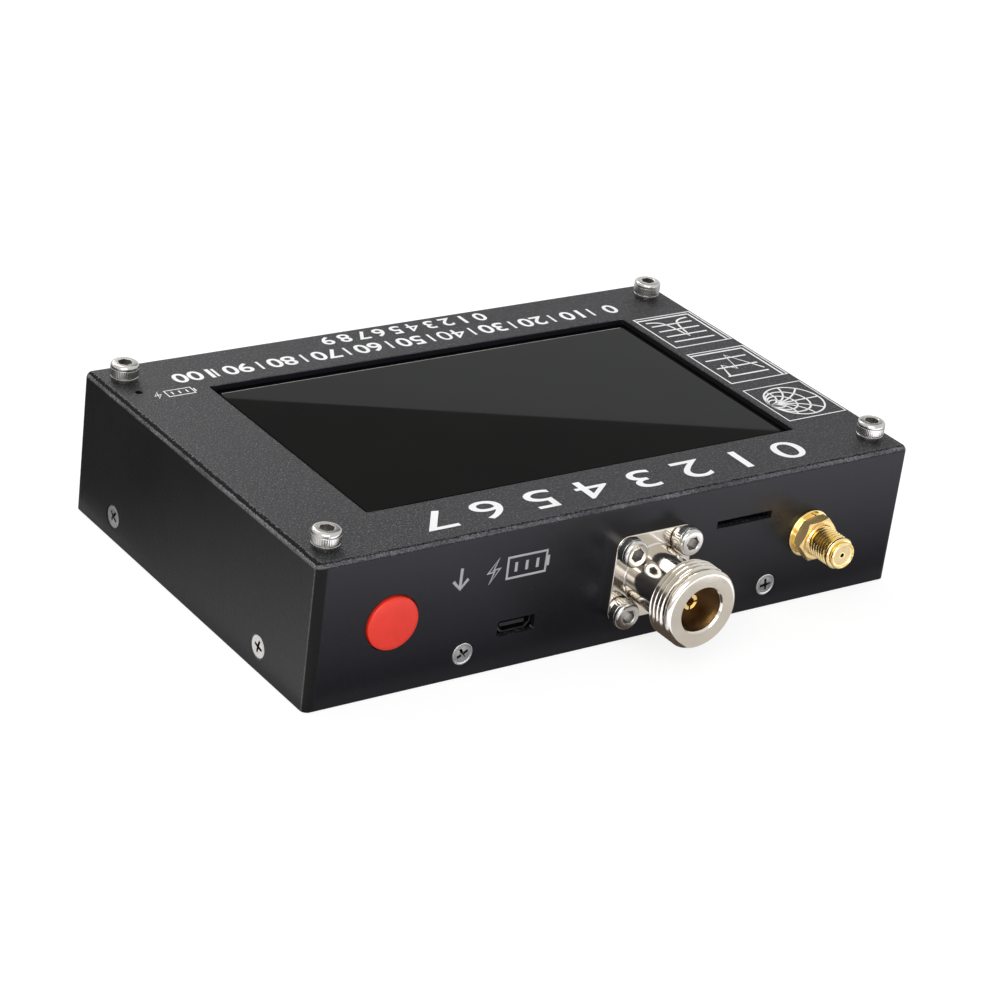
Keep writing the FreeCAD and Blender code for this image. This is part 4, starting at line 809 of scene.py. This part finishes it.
def make_n_socket():
    """Square flange, neck, screw barrel with a plain band, and a rounded rim round the bore."""
    body = make_n_flange()
    neck = turned("neck", 96, [
        (5.3, -2.3), (5.5, -2.15), (5.5, 1.0), (6.42, 1.8), (6.42, 2.1), (6.24, 2.24), (6.1, 2.36), (6.0, 2.56),
        (6.0, 11.85)])
    carve(body, neck, "UNION")
    barrel = threaded_bar("barrel", N_THREAD, 11.0, 16.15)
    envelope = turned("envelope", 96, [(6.6, 11.7), (7.2, 11.72), (7.95, 12.3), (7.95, 15.85), (7.3, 16.1)])
    carve(barrel, envelope, "INTERSECT")
    band = turned("band", 96, [
        (6.5, 15.8), (7.18, 15.82), (7.18, 16.4), (7.8, 16.54), (7.9, 16.68), (7.9, 16.95), (7.8, 17.15),
        (7.6, 17.38), (7.4, 17.51), (7.2, 17.58), (7.0, 17.6), (4.4, 17.6)])
    carve(barrel, band, "UNION")
    carve(body, barrel, "UNION")
    wide = 4.3
    bore = turned("bore", 80, [
        (3.5, -3.0), (3.5, 7.6), (wide, 7.6), (wide, 17.1), (4.42, 17.32), (4.75, 17.65), (4.9, 18.0)])
    carve(body, bore)
    smooth(settle(body, N_PLACE, OUT_OF_FRONT), 32)
    body.name = "n_socket_body"
    # The bore takes the darker metal: painted shade.
    two_finishes(body, "nickel_plate", "bore_shade_metal", lambda corners: max(
        math.hypot(c.x - N_AXIS[0], c.z - N_AXIS[1]) for c in corners) < wide + 0.06)
    finish_piece(body, stands_for=["n_connector_body"])


# --- Small coaxial socket ---
def make_sma_socket():
    """The board-side block kept as it is, and in front of the wall a screw barrel with collar, groove and tip."""
    board_side = cad_copy("sma_body", "sma_socket_body")
    cut_at = FRONT_WALL + 0.3
    bpy.ops.mesh.select_all(action="SELECT")
    bpy.ops.mesh.bisect(plane_co=(0, cut_at * MM, 0), plane_no=(0, -1, 0), use_fill=True, clear_outer=True,
                        threshold=ON_CUT)
    clear()
    barrel = threaded_bar("sma_barrel", SMA_THREAD, 3.3, 9.35, sides=56)
    shank = turned("shank", 56, [(2.95, -0.25), (2.95, 3.35), (2.80, 3.45), (2.80, 3.7)])
    collar = turned("collar", 56, [
        (2.6, 8.85), (2.85, 8.87), (3.12, 9.02), (3.175, 9.1), (3.175, 9.45), (3.1, 9.58), (2.75, 9.66),
        (2.45, 9.74), (2.45, 9.92), (2.62, 10.02), (2.74, 10.14), (2.76, 10.3), (2.72, 10.5), (2.6, 10.65),
        (2.48, 10.7), (2.35, 10.7)])
    carve(barrel, shank, "UNION")
    carve(barrel, collar, "UNION")
    bore = turned("sma_bore", 56, [(2.065, -1.0), (2.065, 10.3), (2.35, 10.3), (2.35, 10.55), (2.5, 10.8)])
    carve(barrel, bore)
    settle(barrel, SMA_PLACE, OUT_OF_FRONT)
    body = join("sma_socket_body", [board_side, barrel])
    finish_piece(smooth(body, 32), "gold_plate", stands_for=["sma_body"])


def fit_on_sma(piece, angle, finish, node):
    smooth(settle(piece, SMA_PLACE, OUT_OF_FRONT), angle)
    finish_piece(piece, finish, stands_for=[node])


def make_sma_fixings():
    """Plain washer, split lock washer and hexagon nut, stacked on the small socket."""
    hole = 3.215
    washer = turned("flat_washer", 64, [(hole, 0), (4.72, 0), (4.8, 0.07), (4.8, 0.5), (4.72, 0.58), (4.66, 0.6),
                                        (hole + 0.1, 0.6), (hole, 0.5)])
    carve(washer, turned("washer_hole", 64, [(hole, -1), (hole, 2)]))
    fit_on_sma(washer, 30, "gold_plate", "sma_washer")

    spring = turned("spring_washer", 64, [
        (hole, 0.6), (4.12, 0.6), (4.2, 0.66), (4.2, 1.12), (4.12, 1.2), (hole, 1.2)])
    carve(spring, turned("spring_hole", 64, [(hole, 0), (hole, 2)]))
    split = settle(block("split", (0.3, 2.0, 1.6), (0, 0, 0)), turn=(0, 0.5, 0))
    carve(spring, settle(split, (0, 3.8, 0.9)))
    fit_on_sma(spring, 30, "gold_plate", "sma_lock_washer")

    nut = hex_bar("hexagon_nut", 8.0, 1.2, 3.6, turn=math.radians(38))
    carve(nut, turned("crown", 64, [
        (3.7, 1.2), (3.95, 1.2), (4.7, 1.62), (4.7, 3.18), (3.95, 3.6), (3.7, 3.6)]), "INTERSECT")
    carve(nut, turned("nut_hole", 64, [
        (3.35, 1.0), (3.3, 1.2), (2.99, 1.5), (2.99, 3.25), (3.3, 3.6), (3.4, 3.8)]))
    fit_on_sma(nut, 25, "nut_gold", "sma_hex_nut")


# --- Push button ---
def make_button():
    """The round cap: a flange held behind the wall, and a face with a rounded rim that crowns a little."""
    cap = turned("button_face", 96, [
        (2.85, -5.5), (3.0, -5.35), (3.0, -2.3), (6.2, -2.3), (6.3, -2.2), (6.3, -1.4), (6.2, -1.3), (5.35, -1.3),
        (5.25, -1.2), (5.25, 0.22), (5.22, 0.36), (5.13, 0.5), (4.98, 0.6), (4.76, 0.66), (4.4, 0.70), (3.8, 0.73),
        (2.9, 0.76), (1.8, 0.785), (0.8, 0.797), (0.25, 0.8)])
    settle(cap, BUTTON_PLACE, OUT_OF_FRONT)
    finish_piece(smooth(cap, 35), "button_red", body="button", stands_for=["button_cap"])


# --- Printed marks ---
INK = 0.02
STROKE = 0.5
READ_FROM_BACK = (0, 0, math.pi)
CHART_LEFT, CHART_RIGHT, CHART_MARGIN = 51.25, 65.6, 0.95


def ink_strokes(name, lines, width=STROKE, place=(0, 0, COVER_TOP), turn=UPRIGHT):
    """Flat raised strokes: each line is its points, in mm, and whether it closes."""
    curve = bpy.data.curves.new(name, "CURVE")
    curve.dimensions = "3D"
    curve.bevel_depth = width / 2 * MM
    curve.bevel_resolution = 1
    curve.use_fill_caps = True
    for points, closed in lines:
        spline = curve.splines.new("POLY")
        spline.points.add(len(points) - 1)
        for point, (x, y) in zip(spline.points, points):
            point.co = (x * MM, y * MM, 0, 1)
        spline.use_cyclic_u = closed
    hold(add_object(name, curve))
    bpy.ops.object.convert(target="MESH")
    piece = bpy.context.object
    piece.scale = (1, 1, 2 * INK / width)
    return settle(piece, place, turn)


def numeral(text, tall, wide, x, y, weight=0.0):
    """One plain number on the top, read from the back: its height in mm, its width as a share of the font's own,
    and how much bolder it gets. Numbers with a 4 stay as they are, because that outline tears when it is offset."""
    clear()
    bpy.ops.object.text_add()
    piece = bpy.context.object
    piece.data.body = text
    piece.data.extrude = INK
    piece.data.resolution_u = 6
    piece.data.offset = 0.0 if "4" in text else weight
    hold(piece)
    bpy.ops.object.convert(target="MESH")
    piece = renormal(bpy.context.object)
    across = [v.co.x for v in piece.data.vertices]
    along = [v.co.y for v in piece.data.vertices]
    middle = Vector(((min(across) + max(across)) / 2, (min(along) + max(along)) / 2, 0))
    piece.data.transform(Matrix.Translation(-middle))
    share = tall * MM / (max(along) - min(along))
    piece.scale = (wide * share, share, MM)
    return settle(piece, (x, y, COVER_TOP), READ_FROM_BACK)


def frame_line(x0, y0, x1, y1):
    return [(x0, y0), (x1, y0), (x1, y1), (x0, y1)], True


def straight(x0, y0, x1, y1):
    return [(x0, y0), (x1, y1)], False


def ring_line(x, y, radius):
    sides = 48
    angles = [2 * math.pi * n / sides for n in range(sides)]
    return [(x + radius * math.cos(angle), y + radius * math.sin(angle)) for angle in angles], True


def print_piece(name, parts, finish="white_ink"):
    finish_piece(join(name, parts), finish)


def print_front_scale():
    """Eight wide figures along the front edge, as on a dial."""
    first, apart = 42.3, 11.55
    figures = [numeral(str(n), tall=6.6, wide=1.62, x=first - n * apart, y=-35.3) for n in range(8)]
    print_piece("front_figures", figures)


def print_back_scale():
    """A long rule and a short one behind the screen, with tens and units."""
    first, apart = 50.0, 9.9
    parts = [numeral(str(n * 10), tall=3.9, wide=1.22, x=first - n * apart, y=32.9, weight=0.016)
             for n in range(11)]
    between = [first - (n + 0.5) * apart for n in range(10)]
    parts.append(ink_strokes("rule_ticks", [straight(x, 31.2, x, 34.6) for x in between], 0.6))
    print_piece("long_rule", parts)
    first, apart = 21.0, 4.05
    parts = [numeral(str(n), tall=3.5, wide=1.22, x=first - n * apart, y=38.6, weight=0.016) for n in range(10)]
    print_piece("short_rule", parts)


def plot_frame(low, high, levels):
    """A chart's frame, the margins along its top and right side, and its level lines."""
    top, side = high - CHART_MARGIN, CHART_RIGHT - CHART_MARGIN
    return ([frame_line(CHART_LEFT, low, CHART_RIGHT, high), straight(CHART_LEFT, top, side, top),
             straight(side, low, side, top)]
            + [straight(CHART_LEFT + 1.6, y, CHART_RIGHT - 2.4, y) for y in levels])


def print_comb_chart():
    """Level lines with a curve that dips."""
    start, step = CHART_LEFT + 1.5, 0.48
    height, depth, centre, spread = 24.2, 8.4, 11, 1.7
    dip = [(start + n * step, height - depth / (1 + ((n - centre) / spread) ** 2)) for n in range(23)]
    lines = plot_frame(11.7, 26.3, (14.3, 16.9, 19.5, 22.1)) + [(dip, False)]
    print_piece("comb_chart", [ink_strokes("comb_chart", lines)])


def print_step_chart():
    """Level lines with a trace of straight steps."""
    steps = [(CHART_LEFT + x, y) for x, y in ((2.2, -3.4), (3.6, 1.4), (6.0, -0.9), (7.4, 5.4), (11.8, -2.4))]
    lines = plot_frame(-6.6, 8.0, (-3.6, 0.2, 4.0)) + [(steps, False)]
    print_piece("step_chart", [ink_strokes("step_chart", lines)])


def print_round_chart():
    """Circles that touch at the left, and arcs that leave from there, cut off at the largest circle."""
    low, high, reach = -24.9, -10.3, 6.1
    middle_x, middle_y = (CHART_LEFT + CHART_RIGHT) / 2, (low + high) / 2
    tangent_x = middle_x - reach
    lines = [frame_line(CHART_LEFT, low, CHART_RIGHT, high)]
    lines += [ring_line(tangent_x + reach * share, middle_y, reach * share) for share in (1.0, 0.74, 0.5, 0.28)]
    angles = [n * math.pi / 48 for n in range(60)]
    for share in (0.55, 1.1, 2.2):
        for side in (-1, 1):
            bend = reach * share
            arc = [(tangent_x + bend * math.sin(angle), middle_y + side * bend * (1 - math.cos(angle)))
                   for angle in angles]
            lines.append(([p for p in arc if math.dist(p, (middle_x, middle_y)) < reach + 0.05], False))
    lines.append(straight(tangent_x, middle_y, middle_x + reach, middle_y))
    print_piece("round_chart", [ink_strokes("round_chart", lines, 0.42)])


BOLT = [(0.5, 1.5), (-0.75, -0.15), (0.1, -0.05), (-0.45, -1.5), (0.8, 0.25), (-0.05, 0.15)]


def cell_lines(x, y, wide, tall):
    """A plain battery sign: case, knob and charge bars."""
    half, bars, knob = tall / 2, 3, x + wide + 0.45
    lines = [frame_line(x, y - half, x + wide, y + half), straight(knob, y - half / 2, knob, y + half / 2)]
    for n in range(bars):
        middle = x + wide * (n + 0.8) / (bars + 0.6)
        lines.append(straight(middle, y - half * 0.45, middle, y + half * 0.45))
    return lines


def bolt_line(x, y, wide, tall):
    return [(x + a * wide, y + b * tall) for a, b in BOLT], True


def print_charge_marks():
    """A small cell and bolt beside the lamp, and a larger pair with an arrow over the charging socket."""
    lines = cell_lines(-57.6, 27.5, 5.6, 2.5) + [bolt_line(-59.4, 27.5, 0.95, 0.95)]
    print_piece("charge_mark", [ink_strokes("charge_mark", lines, 0.36)])
    lines = cell_lines(-26.6, 20.6, 8.4, 4.2) + [bolt_line(-29.6, 20.6, 1.7, 1.6)]
    lines += [straight(-36.6, 22.6, -36.6, 18.8), ([(-38.2, 20.2), (-36.6, 18.4), (-35.0, 20.2)], False)]
    mark = ink_strokes("port_mark", lines, 0.7, (0, FRONT_WALL, 0), OUT_OF_FRONT)
    print_piece("port_mark", [mark], "grey_ink")


# --- Studio ---
LAMP_TARGET = (0, 0, 15)
FLAG_GLOW = 0.004
ROOM_LIT, ROOM_SEEN = 0.42, 1.0
PAPER_LIT, PAPER_SEEN = (0.60, 0.60, 0.60, 1), (0.40, 0.40, 0.40, 1)
FLOOR_GLOW_TO_EYE, FLOOR_GLOW_TO_GLOSS = 0.76, 0.26


def ray_shares(w):
    """Three switches: on for rays from the eye, also through glass; for those and rays off gloss; and for rays off
    gloss alone. All are off for the light that the studio sheds."""
    path = w.put("ShaderNodeLightPath")
    eye = w.calc("MAXIMUM", path.outputs["Is Camera Ray"], path.outputs["Is Transmission Ray"])
    glossy = path.outputs["Is Glossy Ray"]
    return eye, w.calc("MAXIMUM", eye, glossy), glossy


def make_world():
    """A dim even room that looks bright to the eye and to gloss."""
    world = bpy.context.scene.world = bpy.data.worlds.new("studio")
    w = wired(world)
    room = w.put("ShaderNodeBackground")
    w.feed(room.inputs["Color"], (0.98, 0.99, 1.0, 1))
    w.feed(room.inputs["Strength"], w.ramp(ray_shares(w)[1], 0, 1, ROOM_LIT, ROOM_SEEN))
    w.feed(w.put("ShaderNodeOutputWorld").inputs["Surface"], room.outputs[0])


def stage_material(name, build):
    material = bpy.data.materials.new(name)
    w = wired(material)
    w.feed(w.put("ShaderNodeOutputMaterial").inputs["Surface"], build(w))
    return material


def floor_shader(w):
    """White paper that takes the shadow, and is clear from below."""
    eye, seen, glossy = ray_shares(w)
    paper = w.put("ShaderNodeBsdfDiffuse")
    w.feed(paper.inputs["Color"], w.blend(seen, PAPER_LIT, PAPER_SEEN))
    glow = w.put("ShaderNodeEmission")
    w.feed(glow.inputs["Strength"], w.plus(w.times(eye, FLOOR_GLOW_TO_EYE), w.times(glossy, FLOOR_GLOW_TO_GLOSS)))
    both = w.fill(w.put("ShaderNodeAddShader"), paper.outputs[0], glow.outputs[0])
    below = w.put("ShaderNodeNewGeometry").outputs["Backfacing"]
    nothing = w.put("ShaderNodeBsdfTransparent").outputs[0]
    return w.fill(w.put("ShaderNodeMixShader"), below, both, nothing)


def card_shader(strength, colour=(1, 1, 1), fade=None):
    """A glow of one strength, or one that changes along an axis: (axis, start and end in mm, strength at end)."""
    def build(w):
        glow = w.put("ShaderNodeEmission")
        w.feed(glow.inputs["Color"], (*colour, 1))
        level = strength
        if fade:
            axis, start, end, last = fade
            level = w.ramp(w.parts(w.here())[axis], start * MM, end * MM, strength, last)
        w.feed(glow.inputs["Strength"], level)
        return glow.outputs[0]
    return build


def make_floor():
    """A wide floor just below the part."""
    clear()
    bpy.ops.mesh.primitive_plane_add(size=8, location=(0, 0, -0.2 * MM))
    floor = bpy.context.object
    floor.name = "floor"
    floor.data.materials.append(stage_material("paper", floor_shader))


def make_card(name, corners, strength, colour=(1, 1, 1), fade=None):
    """A card that only metal, glass and paint mirror."""
    mesh = bpy.data.meshes.new(name)
    mesh.from_pydata([Vector(c) * MM for c in corners], [], [list(range(len(corners)))])
    card = add_object(name, mesh)
    mesh.materials.append(stage_material(name, card_shader(strength, colour, fade)))
    for ray in ("camera", "diffuse", "shadow", "transmission", "volume_scatter"):
        setattr(card, "visible_" + ray, False)


def make_lamp(name, place, size, watts):
    """A rectangular lamp at a place in metres, turned to the part."""
    light = bpy.data.lights.new(name, "AREA")
    light.shape = "RECTANGLE"
    light.size, light.size_y = size
    light.energy = watts
    lamp = add_object(name, light)
    lamp.location = Vector(place)
    lamp.rotation_mode = "QUATERNION"
    lamp.rotation_quaternion = (Vector(LAMP_TARGET) * MM - lamp.location).to_track_quat("-Z", "Y")


def at_level(height, *points):
    return [(x, y, height) for x, y in points]


def make_studio():
    """Floor, room, two lamps, and the cards and dark flags that glossy surfaces mirror, in mm."""
    make_world()
    make_floor()
    make_lamp("back_softbox", (0.05, 0.95, 0.85), (0.7, 0.5), 8.0)
    make_lamp("front_softbox", (-0.75, -1.0, 0.75), (1.2, 1.0), 13.0)
    make_card("screen_card", [(78.3, 337.0, 181.7), (311.0, 168.4, 163.3), (283.7, 116.9, 290.6),
                              (51.0, 285.5, 309.0)], 0.30, (1.0, 1.0, 0.98))
    make_card("left_floor_card", at_level(0.3, (-69, -90), (-69, 330), (-420, 330), (-420, -90)), 1.14,
              fade=(1, -45, 45, 0.10))
    make_card("front_floor_card", at_level(0.3, (-68, -46), (-68, -260), (330, -260), (330, -46)), 0.08,
              (0.98, 0.975, 1.05), (1, -46, -95, 2.4))
    make_card("brown_floor_card", at_level(0.6, (-16, -46), (12, -46), (18, -74), (-4, -74)), 0.1,
              (1.0, 0.80, 0.62))
    make_card("rim_card", at_level(0.9, (6, -47), (36, -47), (40, -92), (16, -92), (9, -70), (6, -64)), 0.75,
              (1.0, 0.97, 0.93))
    make_card("barrel_card", [(-60, 126, 170), (20, 126, 170), (20, 126, 235), (-60, 126, 235)], 2.6)
    for name, corners in (
            ("barrel_flag", [(68, 138, 146), (122, 112, 146), (122, 112, 205), (68, 138, 205)]),
            ("back_flag", [(-55, 111, 222), (-162, 111, 149), (-162, 201, 149), (-55, 201, 222)]),
            ("floor_flag", at_level(0.7, (-15, -60.5), (-15, -65), (-134, -104), (-134, -90))),
            ("left_flag", [(-134, -90, 0.5), (-134, -104, 0.5), (-134, -104, 54), (-134, -90, 54)])):
        make_card(name, corners, FLAG_GLOW)


# --- Everything together ---
bpy.context.scene.view_settings.view_transform = "Standard"
make_camera()
make_studio()
make_finishes()
dress_nodes()
make_cover_skin()
make_screen_lens()
make_cap_screws()
make_wall_screws()
make_n_socket()
make_sma_socket()
make_sma_fixings()
make_button()
print_front_scale()
print_back_scale()
print_comb_chart()
print_step_chart()
print_round_chart()
print_charge_marks()

clear()
